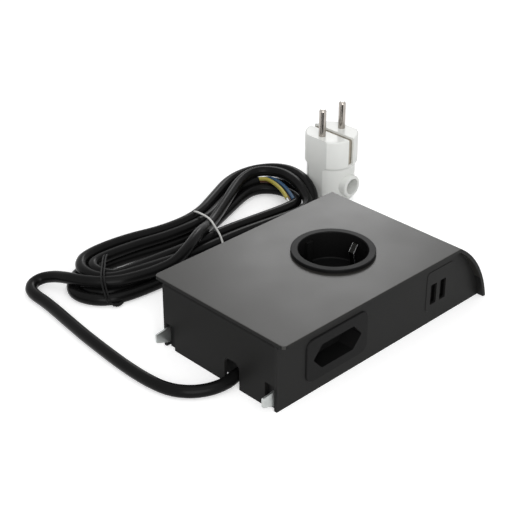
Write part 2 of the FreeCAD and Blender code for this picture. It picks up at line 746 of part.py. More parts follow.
def make_end_panel():
    top = plate_under
    panel = Piece("end_panel")
    panel.pad("YZ", wall_left, wall_inner, rectangle(-panel_inner, panel_inner, 0, top))
    panel.pad("XY", flange_low, top, rectangle(
        wall_inner, wall_inner + s.end_flange, -s.end_flange_half, s.end_flange_half))
    panel.dress("Fillet", s.bend, lambda edge: (
        spans(edge, "X", wall_left.value) and spans(edge, "Z", top.value)))
    slot = panel_inner - s.slot_width
    half_arch = s.arch_width / 2
    panel.cut("YZ", wall_left, wall_inner,
              rectangle(-panel_inner, -slot, 0, s.slot_top),
              rectangle(slot, panel_inner, 0, s.slot_top))
    panel.cut("YZ", wall_left, wall_inner, outline([
        (s.cord_y - half_arch, 0),
        (s.cord_y + half_arch, 0),
        (s.cord_y + half_arch, s.arch_top, s.arch_round),
        (s.cord_y - half_arch, s.arch_top, s.arch_round),
    ]))
    panel.cut("XY", flange_low, top, *[
        circle(x, y, s.stud_radius + s.fit) for x, y in end_studs])


lug_y = panel_inner - s.lug_inset
grommet_half = s.cord_radius + s.cord_clearance + s.grommet_wall


def arch(half_width, low, centre_z):
    """An upright slot outline round the cord: straight sides under a half circle."""
    y0, y1 = s.cord_y - half_width, s.cord_y + half_width
    top = centre_z + half_width
    return [(y0, low), (y1, low), (y1, centre_z),
            (s.cord_y, top, Arc((s.cord_y, centre_z), half_width)),
            (y0, centre_z, Arc((s.cord_y, centre_z), half_width))]


def make_base_cover():
    half = panel_inner - s.base_gap
    wall_half = panel_inner - s.bay_gap
    cover = Piece("base_cover")
    cover.pad("XY", 0, s.base_sheet, rectangle(s.base_left, base_right, -half, half))
    cover.pad("YZ", s.base_left, s.base_left + s.base_sheet,
              rectangle(-wall_half, wall_half, s.base_sheet, s.base_rise, s.base_corner))
    cover.cut("YZ", s.base_left, s.base_left + s.base_sheet,
              outline(arch(grommet_half, s.base_sheet, s.exit_height)))
    cover.cut("XY", 0, s.base_sheet, *[
        circle(x, y, s.screw_head) for x, y in base_screw_places])
    cover.cut("XY", 0, s.base_sheet, circle(s.lug_x, lug_y, s.stud_radius))


def make_studs_and_screws():
    group("cover_studs", *[
        rod("stud", s.stud_radius, (x, y, plate_under - s.stud_length), s.stud_length)
        for x, y in stud_places])
    group("stud_nuts", *[
        less("nut",
             hexagon("nut_block", s.nut_radius, (x, y, flange_low - s.nut_height), s.nut_height),
             rod("nut_bore", s.stud_radius + s.fit / 2,
                 (x, y, flange_low - s.nut_height), s.nut_height))
        for x, y in stud_places])
    group("base_screws", *[
        joined("base_screw",
               rod("screw_head", s.screw_head - s.fit, (x, y, 0), s.base_sheet),
               rod("screw_shank", s.stud_radius, (x, y, s.base_sheet), s.screw_length))
        for x, y in base_screw_places])


def make_hooks():
    """Hooks flat against the side panels, each beside the guide that backs its slot."""
    tip = wall_left - s.hook_reach
    guide_in = panel_inner - s.slot_width - s.guide_lap
    guide_out = panel_inner - s.hook_blade - s.fit
    group("hook_guides", *[
        block("hook_guide", (wall_inner, wall_inner + s.guide_depth), across,
              (0, s.slot_top + s.guide_lap))
        for across in ((-guide_out, -guide_in), (guide_in, guide_out))])
    for name, side in (("front_hook", -1), ("rear_hook", 1)):
        inner, outer = panel_inner - s.hook_blade, panel_inner
        across = (-outer, -inner) if side < 0 else (inner, outer)
        hook = Piece(name)
        hook.pad("XZ", *across, outline([
            (tip, s.hook_low + s.hook_ramp, s.hook_tip_round),
            (wall_left + s.hook_bend, s.hook_low, s.hook_bend),
            (s.hook_root, s.hook_low + s.hook_ramp),
            (s.hook_root, s.hook_high),
            (wall_left, s.hook_high),
            (tip, s.hook_high - s.hook_fall, s.hook_tip_round),
        ]))


# Round mains socket.


def make_socket_insert():
    insert = Piece("socket_insert")
    insert.turned(outline([
        (0, cup_under),
        (cup_radius, cup_under, s.cup_round),
        (cup_radius, s.plate_top),
        (s.ring_radius, s.plate_top),
        (s.ring_radius, ring_top, s.ring_edge),
        (s.recess_radius, ring_top, s.ring_edge),
        (s.recess_radius, recess_floor, s.cup_round),
        (0, recess_floor),
    ]))
    block_end = pin_y + contact_outer + s.block_wall
    block_low = cup_under - s.contact_depth - s.contact_foot - s.fit
    insert.pad("XY", block_low, cup_under, rectangle(
        -s.block_half, s.block_half, -block_end, block_end, s.block_corner))
    key_end = s.recess_radius + s.cup_wall / 2
    key_start = s.recess_radius - s.key_reach
    for side in (-1, 1):
        ends = (side * key_start, side * key_end)
        insert.pad("XY", recess_floor, recess_floor + s.key_height, rectangle(
            -s.key_width / 2, s.key_width / 2, *sorted(ends, key=lambda end: end.value)))
    chamber = contact_outer + s.fit
    insert.cut("XY", block_low, cup_under, circle(0, pin_y, chamber), circle(0, -pin_y, chamber))
    insert.cut("XY", cup_under, recess_floor,
               circle(0, pin_y, s.pin_hole), circle(0, -pin_y, s.pin_hole))
    half_slot = s.clip_width / 2 + s.fit
    for side in (-1, 1):
        ends = (side * (s.clip_waist + s.clip_thick), side * s.recess_radius)
        insert.cut("XY", cup_under, recess_floor, rectangle(
            *sorted(ends, key=lambda end: end.value), -half_slot, half_slot))
    strip = s.clip_thick + s.fit
    insert.cut("XY", cup_under - strip, cup_under, rectangle(
        -s.block_half, s.block_half, -half_slot, half_slot))


def make_socket_metal():
    """Contact sleeves for the pins and the sprung earth strip, which wraps under the floor."""
    bore_low = cup_under - s.contact_depth
    foot_low = bore_low - s.contact_foot
    for name, y in (("socket_line_contact", -pin_y), ("socket_neutral_contact", pin_y)):
        sleeve = Piece(name)
        sleeve.pad("XY", foot_low, cup_under, circle(0, 0, contact_outer))
        sleeve.cut("XY", bore_low, cup_under, circle(0, 0, contact_bore))
        between = (contact_bore + contact_outer).value
        sleeve.dress("Chamfer", s.contact_bevel, lambda edge: (
            spans(edge, "Z", cup_under.value) and edge.BoundBox.XLength < between))
        sleeve.place(0, y, 0)
    thick = s.clip_thick
    top = s.clip_top
    arm = s.clip_waist + s.clip_bow
    flare = s.recess_radius - s.clip_flare
    strip_top = cup_under
    clips = Piece("socket_earth_clips")
    clips.pad("XZ", -s.clip_width / 2, s.clip_width / 2, outline([
        (-arm, strip_top - thick),
        (arm, strip_top - thick, s.clip_heel),
        (arm, recess_floor),
        (s.clip_waist + thick, s.clip_waist_height, s.clip_crest),
        (flare, top),
        (flare - thick, top),
        (s.clip_waist, s.clip_waist_height, s.clip_crest_inside),
        (arm - thick, recess_floor),
        (arm - thick, strip_top, s.clip_heel_inside),
        (thick - arm, strip_top, s.clip_heel_inside),
        (thick - arm, recess_floor),
        (-s.clip_waist, s.clip_waist_height, s.clip_crest_inside),
        (thick - flare, top),
        (-flare, top),
        (-s.clip_waist - thick, s.clip_waist_height, s.clip_crest),
        (-arm, recess_floor),
    ]))
    clips.pad("YZ", -arm, thick - arm, rectangle(
        -s.clip_tail_half, s.clip_tail_half, strip_top - s.clip_tail, strip_top - thick))


def make_socket_fixings():
    nut_low = plate_under - s.nut_ring_height
    nut = Piece("socket_ring_nut")
    nut.pad("XY", nut_low, plate_under, circle(0, 0, nut_outer))
    nut.cut("XY", nut_low, plate_under, circle(0, 0, cup_radius + s.fit))
    notches = 8
    notch_middle = nut_outer + s.nut_notch_out
    for step in range(notches):
        angle = 2 * math.pi * (step + 0.5) / notches
        nut.cut("XY", nut_low, plate_under, circle(
            notch_middle * math.cos(angle), notch_middle * math.sin(angle), s.nut_notch))
    block_end = pin_y + contact_outer + s.block_wall
    block_low = cup_under - s.contact_depth - s.contact_foot - s.fit
    cap = Piece("socket_rear_cap")
    cap.pad("XY", block_low - s.cap_thick, block_low, rectangle(
        -s.block_half, s.block_half, -block_end, block_end, s.block_corner))
    cap.cut("XY", block_low - s.cap_thick, block_low, *[
        rectangle(-s.cap_slot, 2 * s.cap_slot, y - s.cap_slot, y + s.cap_slot, 0.75 * s.cap_slot)
        for y in (-pin_y, pin_y)])


board_top = plate_under - s.board_head
board_left = reach_of_lip(lip_inner, board_top) - s.board_clear - s.board_width

# Inserts in the front panel. Their faces stand a little proud of the panel.


def bezel(name, face_y, edge_size, x, z, width, height, corner, depth):
    """A bezel with its body behind the panel, which the caller cuts the openings into."""
    insert = Piece(name)
    insert.pad("XZ", face_y, -s.body_half, rectangle(
        x - width / 2, x + width / 2, z - height / 2, z + height / 2, corner))
    insert.dress("Chamfer", edge_size, lambda edge: spans(edge, "Y", face_y.value))
    insert.pad("XZ", -s.body_half, depth - s.body_half, window(x, z, width, height, corner, 0))
    return insert


def make_euro_socket():
    face_y = -(s.body_half + s.euro_rise)
    insert = bezel("euro_insert", face_y, s.euro_edge, s.euro_x, s.euro_z, s.euro_width,
                   s.euro_height, s.euro_corner, s.euro_body_depth)
    half_width, half_height, flat = s.hex_width / 2, s.hex_height / 2, s.hex_flat / 2
    floor_y = face_y + s.hex_depth
    insert.cut("XZ", face_y, floor_y, outline([
        (s.euro_x - half_width, s.euro_z, s.hex_point),
        (s.euro_x - flat, s.euro_z - half_height, s.hex_corner),
        (s.euro_x + flat, s.euro_z - half_height, s.hex_corner),
        (s.euro_x + half_width, s.euro_z, s.hex_point),
        (s.euro_x + flat, s.euro_z + half_height, s.hex_corner),
        (s.euro_x - flat, s.euro_z + half_height, s.hex_corner),
    ]))
    places = (("euro_neutral_contact", s.euro_x - pin_y), ("euro_line_contact", s.euro_x + pin_y))
    chamber_y = floor_y + s.euro_floor
    back_y = s.euro_body_depth - s.body_half
    insert.cut("XZ", floor_y, chamber_y, *[circle(x, s.euro_z, s.pin_hole) for name, x in places])
    insert.cut("XZ", chamber_y, back_y, *[
        circle(x, s.euro_z, contact_outer + s.fit) for name, x in places])
    for name, x in places:
        sleeve = Piece(name)
        sleeve.pad("XZ", chamber_y, back_y, circle(x, s.euro_z, contact_outer))
        sleeve.cut("XZ", chamber_y, back_y - s.contact_foot, circle(x, s.euro_z, contact_bore))
    half = s.euro_width / 2 - s.bezel_lap
    tall = s.euro_height / 2 - s.bezel_lap
    cap = Piece("euro_rear_cap")
    cap.pad("XZ", back_y, back_y + s.cap_thick, rectangle(
        s.euro_x - half, s.euro_x + half, s.euro_z - tall, s.euro_z + tall,
        s.euro_corner - s.bezel_lap))
    cap.cut("XZ", back_y, back_y + s.cap_thick, *[
        circle(x, s.euro_z, s.wire_radius + s.fit) for name, x in places])


def make_charging_ports():
    face_y = -(s.body_half + s.usb_rise)
    insert = bezel("usb_insert", face_y, s.usb_edge, usb_x, s.usb_z, s.usb_width, s.usb_height,
                   s.usb_corner, s.usb_body_depth)
    back_y = s.usb_body_depth - s.body_half
    ports = [("usb_left_shell", usb_x + s.port_shift - s.port_pitch / 2),
             ("usb_right_shell", usb_x + s.port_shift + s.port_pitch / 2)]
    half_x, half_z = s.port_width / 2, s.port_height / 2

    def opening(x, more):
        return rectangle(x - half_x - more, x + half_x + more,
                         s.port_z - half_z - more, s.port_z + half_z + more,
                         s.port_corner + more)

    insert.cut("XZ", face_y, back_y, *[opening(x, s.port_shell) for name, x in ports])
    for name, x in ports:
        shell = Piece(name)
        shell.pad("XZ", face_y + s.port_setback, back_y, opening(x, s.port_shell))
        shell.cut("XZ", face_y + s.port_setback, back_y, opening(x, Size(0, "0")))
    tongue_y = face_y + s.port_setback + s.tongue_setback
    half_tongue = s.tongue_height / 2
    side = s.port_width / 4
    group("usb_tongues", *[
        block("tongue", (x + side - s.tongue_width / 2, x + side + s.tongue_width / 2),
              (tongue_y, back_y), (s.port_z - half_tongue, s.port_z + half_tongue))
        for name, x in ports])
    board_back = back_y + s.board_thick
    keep(block("charger_board_block", (board_left, board_left + s.board_width),
               (back_y, board_back), (s.board_low, board_top)), "charger_board")
    box_left, box_low = usb_x, s.board_low + s.coil_box_low
    keep(block("transformer_block", (box_left, box_left + s.coil_box),
               (board_back, board_back + s.coil_box_depth),
               (box_low, box_low + s.coil_box)), "charger_transformer")
    keep(rod("capacitor_can", s.can_radius,
             (box_left - s.can_radius - s.can_clear, board_back,
              board_top - s.can_radius - s.can_clear),
             s.can_length, "Y"), "charger_capacitor")


# Wiring space: terminal block, clamp, grommet and wires.

terminal_half = s.pole_pitch + s.sleeve_radius + s.terminal_wall
terminal_front = s.euro_body_depth - s.body_half + s.cap_thick + s.pole_clear
pole_middle = terminal_front + terminal_half
poles = [pole_middle - s.pole_pitch, pole_middle, pole_middle + s.pole_pitch]
terminal_right = s.terminal_left + s.terminal_length
terminal_top = s.base_sheet + s.terminal_height


def make_terminals():
    terminal = Piece("terminal_block")
    terminal.pad("XY", s.base_sheet, terminal_top, rectangle(
        s.terminal_left, terminal_right, terminal_front, pole_middle + terminal_half,
        s.terminal_wall))
    terminal.cut("YZ", s.terminal_left, terminal_right, *[
        circle(y, s.wire_height, s.sleeve_radius) for y in poles])
    screw_xs = [s.terminal_left + s.terminal_length * share
                for share in (s.terminal_share, 1 - s.terminal_share)]
    for y in poles:
        terminal.cut("XY", s.wire_height, terminal_top, *[
            circle(x, y, s.terminal_hole) for x in screw_xs])
    group("terminal_sleeves", *[
        less("sleeve",
             rod("sleeve_outside", s.sleeve_radius, (s.terminal_left, y, s.wire_height),
                 s.terminal_length, "X"),
             rod("sleeve_inside", s.sleeve_bore, (s.terminal_left, y, s.wire_height),
                 s.terminal_length, "X"))
        for y in poles])
    screw_low = s.wire_height + s.sleeve_radius
    group("terminal_screws", *[
        rod("terminal_screw", s.terminal_hole - s.fit, (x, y, screw_low),
            terminal_top - s.terminal_sink - screw_low)
        for y in poles for x in screw_xs])


def make_clamp_and_grommet():
    cord_play = s.cord_radius + s.cord_clearance
    clamp = Piece("cord_clamp")
    clamp_right = s.clamp_left + s.clamp_length
    clamp.pad("YZ", s.clamp_left, clamp_right, rectangle(
        s.cord_y - s.clamp_half, s.cord_y + s.clamp_half,
        s.base_sheet, s.base_sheet + s.clamp_height, s.clamp_corner))
    clamp.cut("YZ", s.clamp_left, clamp_right,
              outline(arch(cord_play, s.base_sheet, s.exit_height)))
    middle = s.clamp_left + s.clamp_length / 2
    screw_ys = [s.cord_y - s.clamp_screw_y, s.cord_y + s.clamp_screw_y]
    clamp_top = s.base_sheet + s.clamp_height
    clamp.cut("XY", s.base_sheet, clamp_top, *[
        circle(middle, y, s.stud_radius + s.fit) for y in screw_ys])
    group("clamp_screws", *[
        joined("clamp_screw",
               rod("clamp_screw_shank", s.stud_radius, (middle, y, s.base_sheet), s.clamp_height),
               rod("clamp_screw_head", s.screw_head, (middle, y, clamp_top),
                   s.clamp_head))
        for y in screw_ys])
    grommet = Piece("cord_grommet")
    outside = grommet_half + s.grommet_lap
    wall_right = s.base_left + s.base_sheet
    grommet.pad("YZ", s.base_left - s.grommet_flange, s.base_left,
                outline(arch(outside, s.grommet_low, s.exit_height)))
    grommet.pad("YZ", s.base_left, wall_right,
                outline(arch(grommet_half, s.base_sheet, s.exit_height)))
    grommet.pad("YZ", wall_right, wall_right + s.grommet_flange,
                outline(arch(outside, s.base_sheet, s.exit_height)))
    grommet.cut("YZ", s.base_left - s.grommet_flange, wall_right + s.grommet_flange,
                circle(s.cord_y, s.exit_height, cord_play))
    start = points((s.base_left - s.grommet_flange, s.cord_y, s.exit_height),
                   (s.sheath_end, s.cord_y, s.exit_height))
    wires("inner_cord", (s.cord_radius, start))


def make_wires():
    """Cores from the sheath to the terminals, and on to the sockets, the board and the box."""
    line, neutral, earth = poles
    left, right, up = s.terminal_left, terminal_right, s.wire_height
    inside, reach, turn, rise = s.wire_inside, s.wire_reach, s.wire_turn, s.wire_rise
    out, side, core, thin = s.wire_straight, s.wire_offset, s.wire_radius, s.thin_wire
    low = s.base_sheet + s.wire_low
    under = low - thin * 1.25
    foot = cup_under - s.contact_depth - s.contact_foot
    back_y = s.euro_body_depth - s.body_half
    board_y = s.usb_body_depth - s.body_half + s.board_thick

    def supply(across, lift, pole):
        y, z = s.cord_y + s.core_spread * across, s.exit_height + s.core_spread * lift
        return points((s.sheath_end, y, z), (s.sheath_end + out, y, z),
                      (left - out, pole, up), (left + inside, pole, up))

    def to_board(pin, start_x, along, sweep):
        x = board_left + along
        return points((start_x, pin, foot), (start_x, pin, under),
                      (board_left - reach, board_y + s.wire_sweep * sweep * 1.42, under),
                      (x, board_y + s.wire_sweep * sweep, low + rise), (x, board_y, low + rise))

    beside = contact_bore - thin * 0.125
    wires("line_wires",
          (core, supply(-0.84, -0.42, line)),
          (core, points((right - inside, line + side, up), (right + out / 2, line + side, up),
                        (right + turn, line + side, low), (-s.wire_lead, -pin_y, low),
                        (0, -pin_y, low), (0, -pin_y, foot))),
          (core, points((right - inside, line - side, up), (right + reach, line - side, up),
                        (right + reach, line - side, up + rise * 2),
                        (s.euro_x + pin_y, line - side, s.euro_z),
                        (s.euro_x + pin_y, back_y, s.euro_z))),
          (thin, to_board(-pin_y, beside, out, 1)))
    wires("neutral_wires",
          (core, supply(0, 1, neutral)),
          (core, points((right - inside, neutral + side, up), (right + out / 2, neutral + side, up),
                        (right + turn, neutral + side * 1.6, low), (-s.wire_lead, pin_y, low),
                        (0, pin_y, low), (0, pin_y, foot))),
          (core, points((right - inside, neutral - side, up), (right + reach, neutral - side, up),
                        (right + reach, neutral - side, up + rise * 2.2),
                        (s.euro_x + rise * 1.2, neutral - side * 3, s.euro_z + side / 2),
                        (s.euro_x - pin_y, back_y + turn, s.euro_z),
                        (s.euro_x - pin_y, back_y, s.euro_z))),
          (thin, to_board(pin_y, beside, out * 2.4, 1.73)))
    clip_x = -(s.clip_waist + s.clip_bow - s.clip_thick / 2)
    clip_foot = cup_under - s.clip_tail
    lug_end = lug_y - s.lug_radius - s.lug_barrel
    wires("earth_wires",
          (core, supply(0.84, -0.42, earth)),
          (core, points((right - inside, earth - side, up), (right + out, earth - side, up),
                        (right + turn, side, up + rise * 0.7), (clip_x, 0, up + rise),
                        (clip_x, 0, clip_foot))),
          (core, points((right - inside, earth + side, up), (right + out, earth + side, up),
                        (right + turn, earth + s.wire_sweep, low),
                        (s.lug_x, lug_end - out, s.base_sheet + core),
                        (s.lug_x, lug_end, s.base_sheet + core))))
    lug_top = s.base_sheet + s.lug_sheet
    keep(less("lug",
              joined("lug_plate",
                     rod("lug_ring", s.lug_radius, (s.lug_x, lug_y, s.base_sheet), s.lug_sheet),
                     block("lug_neck", (s.lug_x - s.lug_radius / 3, s.lug_x + s.lug_radius / 3),
                           (lug_end, lug_y - s.lug_radius / 2), (s.base_sheet, lug_top)),
                     rod("lug_barrel", core, (s.lug_x, lug_end, s.base_sheet + core),
                         s.lug_barrel, "Y")),
              rod("lug_hole", s.stud_radius + s.fit, (s.lug_x, lug_y, s.base_sheet),
                  s.lug_sheet)),
         "earth_lug")
    keep(joined("lug_screw_parts",
                rod("lug_stud", s.stud_radius, (s.lug_x, lug_y, 0), s.stud_length),
                hexagon("lug_nut", s.nut_radius, (s.lug_x, lug_y, lug_top), s.nut_height)),
         "earth_stud")


# The cord outside: a lead along the table, then a tied hank with a bare end.

LEAD = [
    (-87.0, -10.5, 5.0), (-92.6, -11.4, 4.3), (-102.4, -9.4, 3.8), (-112.3, -3.6, 3.8),
    (-119.0, 6.6, 3.8), (-121.2, 20.5, 3.8), (-121.4, 38.0, 3.8), (-120.2, 57.0, 3.8),
    (-118.6, 76.5, 3.8), (-116.4, 95.0, 3.8), (-114.2, 111.5, 3.8), (-112.0, 126.0, 3.8),
    (-110.8, 139.5, 3.8), (-106.4, 146.0, 3.8), (-99.0, 148.6, 4.4), (-91.7, 146.4, 5.4),
    (-86.6, 140.8, 6.6), (-82.0, 134.6, 6.6),
]
# Bare cores, as bearing, distance from the eye's middle and height.
CORE_ROUTE = [(75.0, 19.0, 9.0), (57.0, 19.8, 8.6), (34.0, 15.6, 7.6), (9.0, 14.2, 6.6),
              (-18.0, 14.0, 5.8), (-43.0, 13.6, 5.2), (-67.0, 12.0, 4.8)]


def capsule(x0, y0, radius0, x1, y1, radius1, more, low, high):
    """An upright solid whose plan is two circles and the tangents that wrap them."""
    first, second = Vector(x0.value, y0.value, low), Vector(x1.value, y1.value, low)
    big, small = radius0.value + more, radius1.value + more
    along = second - first
    bearing = math.atan2(along.y, along.x)
    swing = math.acos((big - small) / along.Length)
    along.normalize()

    def edge_point(centre, radius, angle):
        return centre + Vector(math.cos(angle), math.sin(angle), 0) * radius

    a, b = (edge_point(first, big, bearing + turn) for turn in (swing, -swing))
    c, d = (edge_point(second, small, bearing + turn) for turn in (-swing, swing))
    edges = [
        Part.Arc(a, first - along * big, b).toShape(),
        Part.LineSegment(b, c).toShape(),
        Part.Arc(c, second + along * small, d).toShape(),
        Part.LineSegment(d, a).toShape(),
    ]
    return Part.Face(Part.Wire(edges)).extrude(Vector(0, 0, high - low))


def hank_form(more):
    """The hank's outside, or a jacket a little larger all round."""
    low, high = s.hank_low.value - more, s.hank_top.value + more
    left = capsule(s.hank_left_x, s.hank_left_y, s.hank_left_radius,
                   s.waist_x, s.waist_y, s.waist_radius, more, low, high)
    right = capsule(s.waist_x, s.waist_y, s.waist_radius,
                    s.loop_x, s.loop_y, s.loop_radius, more, low, high)
    return left.fuse(right).removeSplitter()


def make_cord():
    start = points((s.base_left - s.grommet_flange, s.cord_y, s.exit_height))
    lead = start + [Vector(*place) for place in LEAD]
    wires("cord_tube", (s.cord_radius, lead))
    end, before = lead[-1], lead[-2]
    heading = end - before
    low, high = s.hank_low.value, s.hank_top.value
    length, width = s.end_length.value, s.end_width.value
    seat = Part.makeBox(length, width, 3 * high, Vector(-length, -width / 2, -high))
    seat.rotate(Vector(0, 0, 0), Vector(0, 0, 1), math.degrees(math.atan2(heading.y, heading.x)))
    seat.translate(end)
    eye = capsule(s.eye_x, s.eye_y, s.eye_radius, s.eye_tip_x, s.eye_tip_y, s.eye_tip_radius,
                  0, low, high)
    cores = core_points(0, 0)
    length, width = s.notch_length.value, s.notch_width.value
    notch = Part.makeBox(length, width, 3 * high,
                         Vector(cores[0].x, cores[0].y - 0.7 * width, -high))
    form = hank_form(0)
    solid("cord_coil", form.cut(eye).cut(seat).cut(notch).removeSplitter())
    jacket = hank_form(s.tie_thick.value).cut(form)
    width, length = s.tie_width.value, 4 * s.loop_radius.value
    across = Part.makeBox(width, length, 3 * high, Vector(-width / 2, -length / 2, -high))
    across.translate(Vector(s.wire_tie_x.value, s.waist_y.value, 0))
    solid("wire_tie", jacket.common(across))
    slant = Part.makeBox(length, width, 3 * high, Vector(-length / 2, -width / 2, -high))
    slant.rotate(Vector(0, 0, 0), Vector(0, 0, 1), s.twist_tie_angle.value)
    slant.translate(Vector(s.hank_left_x.value - s.twist_tie_inset.value,
                           s.hank_left_y.value, 0))
    solid("twist_tie", jacket.common(slant))


def core_points(outward, upward):
    """One core's route round the loop's opening, moved outward and upward from the middle."""
    route = []
    for bearing, distance, height in CORE_ROUTE:
        angle = math.radians(bearing)
        route.append(Vector(s.eye_x.value + (distance + outward) * math.cos(angle),
                            s.eye_y.value + (distance + outward) * math.sin(angle),
                            height + upward))
    return route


def make_bare_end():
    step = s.core_step.value
    ferrules = []
    for name, outward, upward in (("neutral_core", step, step), ("earth_core", -step, step),
                                  ("line_core", 0, -step * 0.75)):
        route = core_points(outward, upward)
        face_x = core_points(0, 0)[0].x
        route[0].x = face_x
        route[1].y = route[0].y
        route[1].z = route[0].z
        wires(name, (s.core_radius, route))
        tip = route[-1] - route[-2]
        ferrules.append(Part.makeCylinder(s.ferrule_radius.value, s.ferrule_length.value,
                                          route[-1], tip))
    solid("core_ferrules", Part.makeCompound(ferrules))


# The plug, which stands by itself on its grip with its pins up.


def make_plug():
    carrier = Piece("plug_front")
    carrier.turned(outline([
        (0, s.plug_split),
        (s.grip_radius, s.plug_split),
        (s.plug_radius, s.plug_split + s.plug_shoulder, s.plug_shoulder_round),
        (s.plug_radius, s.plug_height, s.plug_edge),
        (0, s.plug_height),
    ]))
    channel = s.strap_width / 2 + s.fit
    outer = s.plug_radius * 1.1
    carrier.cut("XY", s.plug_height - s.strap_sink, s.plug_height, rectangle(
        -channel, channel, -outer, outer))
    for side in (-1, 1):
        ends = sorted((side * outer, side * (s.plug_radius - s.strap_sink)),
                      key=lambda end: end.value)
        carrier.cut("XY", s.strap_foot, s.plug_height - s.strap_sink, rectangle(
            -channel, channel, *ends))
    carrier.cut("XY", s.plug_height - s.pin_root, s.plug_height,
                circle(-pin_y, 0, s.pin_radius), circle(pin_y, 0, s.pin_radius))
    flats = [rectangle(*ends, -outer, outer)
             for ends in ((-outer, -s.plug_flat), (s.plug_flat, outer))]
    carrier.cut("XY", s.plug_split, s.plug_height, *flats)
    carrier.place(s.plug_x, s.plug_y, 0)
    grip = Piece("plug_rear")
    grip.turned(outline([
        (0, 0), (s.grip_radius, 0, s.plug_edge), (s.grip_radius, s.plug_split),
        (0, s.plug_split)]))
    grip.cut("XY", 0, s.plug_split, *flats)
    grip.pad("XZ", -s.nozzle_reach, 0, circle(0, s.nozzle_height, s.nozzle_radius))
    grip.dress("Fillet", s.plug_edge, lambda edge: spans(edge, "Y", -s.nozzle_reach.value))
    grip.cut("XZ", -s.nozzle_reach, s.nozzle_depth - s.nozzle_reach, circle(
        0, s.nozzle_height, s.nozzle_bore))
    grip.place(s.plug_x, s.plug_y, 0)
    for name, side in (("plug_line_pin", -1), ("plug_neutral_pin", 1)):
        pin = Piece(name)
        pin.turned(outline([
            (0, s.plug_height - s.pin_root),
            (s.pin_radius, s.plug_height - s.pin_root),
            (s.pin_radius, s.plug_height + s.pin_length, s.pin_round),
            (0, s.plug_height + s.pin_length),
        ]))
        pin.place(s.plug_x + side * pin_y, s.plug_y, 0)
    floor = s.plug_height - s.strap_sink
    wall = s.plug_radius - s.strap_sink
    strap = Piece("plug_earth_strap")
    strap.pad("YZ", -s.strap_width / 2, s.strap_width / 2, outline([
        (-wall - s.strap_thick, s.strap_foot),
        (-wall - s.strap_thick, floor + s.strap_thick, s.strap_bend),
        (wall + s.strap_thick, floor + s.strap_thick, s.strap_bend),
        (wall + s.strap_thick, s.strap_foot),
        (wall, s.strap_foot),
        (wall, floor),
        (-wall, floor),
        (-wall, s.strap_foot),
    ]))
    strap.place(s.plug_x, s.plug_y, 0)


make_cover_plate()
make_side_panel("front_panel", -1)
make_side_panel("rear_panel", 1)
make_end_panel()
make_base_cover()
make_studs_and_screws()
make_hooks()
make_socket_insert()
make_socket_metal()
make_socket_fixings()
make_euro_socket()
make_charging_ports()
make_terminals()
make_clamp_and_grommet()
make_wires()
make_cord()
make_bare_end()
make_plug()

doc.recompute()
for item in doc.Objects:
    if "Invalid" in item.State or "Error" in item.State:
        raise RuntimeError(f"{item.Name} failed: {item.State}")
for node in nodes:
    if node.Shape.isNull() or not node.Shape.isValid() or not node.Shape.Solids:
        raise RuntimeError(f"{node.Label} has no valid shape")
for node in nodes:
    node.Shape.exportStep(f"parts/{node.Label}.step")
print(f"{len(nodes)} sub-parts written")
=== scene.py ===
import math

import bpy
from mathutils import Euler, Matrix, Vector


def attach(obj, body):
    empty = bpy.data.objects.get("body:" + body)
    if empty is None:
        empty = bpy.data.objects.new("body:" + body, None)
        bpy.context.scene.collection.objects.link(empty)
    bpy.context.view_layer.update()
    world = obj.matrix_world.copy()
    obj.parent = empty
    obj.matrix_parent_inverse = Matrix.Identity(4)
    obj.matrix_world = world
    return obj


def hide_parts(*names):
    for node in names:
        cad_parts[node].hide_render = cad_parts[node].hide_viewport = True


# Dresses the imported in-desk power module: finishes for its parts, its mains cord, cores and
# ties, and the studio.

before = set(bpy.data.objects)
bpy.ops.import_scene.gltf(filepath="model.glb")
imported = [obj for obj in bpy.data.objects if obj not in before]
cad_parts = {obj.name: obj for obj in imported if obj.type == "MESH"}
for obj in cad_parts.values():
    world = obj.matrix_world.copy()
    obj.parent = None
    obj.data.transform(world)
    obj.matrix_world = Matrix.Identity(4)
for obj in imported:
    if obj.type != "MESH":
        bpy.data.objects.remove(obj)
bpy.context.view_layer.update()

bl_info = {
    "name": "In-desk power module",
    "version": (1, 0, 0),
    "blender": (4, 5, 0),
    "location": "View3D > Sidebar > Power Module",
    "description": "Lays the mains cord and gives each part of the power module its finish",
    "category": "Object",
}

MM = 0.001
BODY = "root"

# The lead's route from the grommet to the tied hank, in metres.
LEAD = (
    (-0.0833, -0.0105, 0.0050), (-0.0870, -0.0105, 0.0050), (-0.0926, -0.0114, 0.0043),
    (-0.1024, -0.0094, 0.0038), (-0.1123, -0.0036, 0.0038), (-0.1190, 0.0066, 0.0038),
    (-0.1212, 0.0205, 0.0038), (-0.1214, 0.0380, 0.0038), (-0.1202, 0.0570, 0.0038),
    (-0.1186, 0.0765, 0.0038), (-0.1164, 0.0950, 0.0038), (-0.1142, 0.1115, 0.0038),
    (-0.1130, 0.1240, 0.0038), (-0.1130, 0.1320, 0.0038), (-0.1114, 0.1400, 0.0038),
    (-0.1058, 0.1450, 0.0042), (-0.0994, 0.1434, 0.0058), (-0.0956, 0.1356, 0.0084),
    (-0.0938, 0.1256, 0.0108), (-0.0896, 0.1156, 0.0112), (-0.0828, 0.1066, 0.0112),
    (-0.0744, 0.1006, 0.0112), (-0.0640, 0.0974, 0.0112), (-0.0520, 0.0946, 0.0114),
    (-0.0400, 0.0926, 0.0126), (-0.0290, 0.0942, 0.0158), (-0.0175, 0.0992, 0.0173),
    (-0.0060, 0.1054, 0.0168), (0.0050, 0.1118, 0.0132), (0.0160, 0.1180, 0.0110),
)
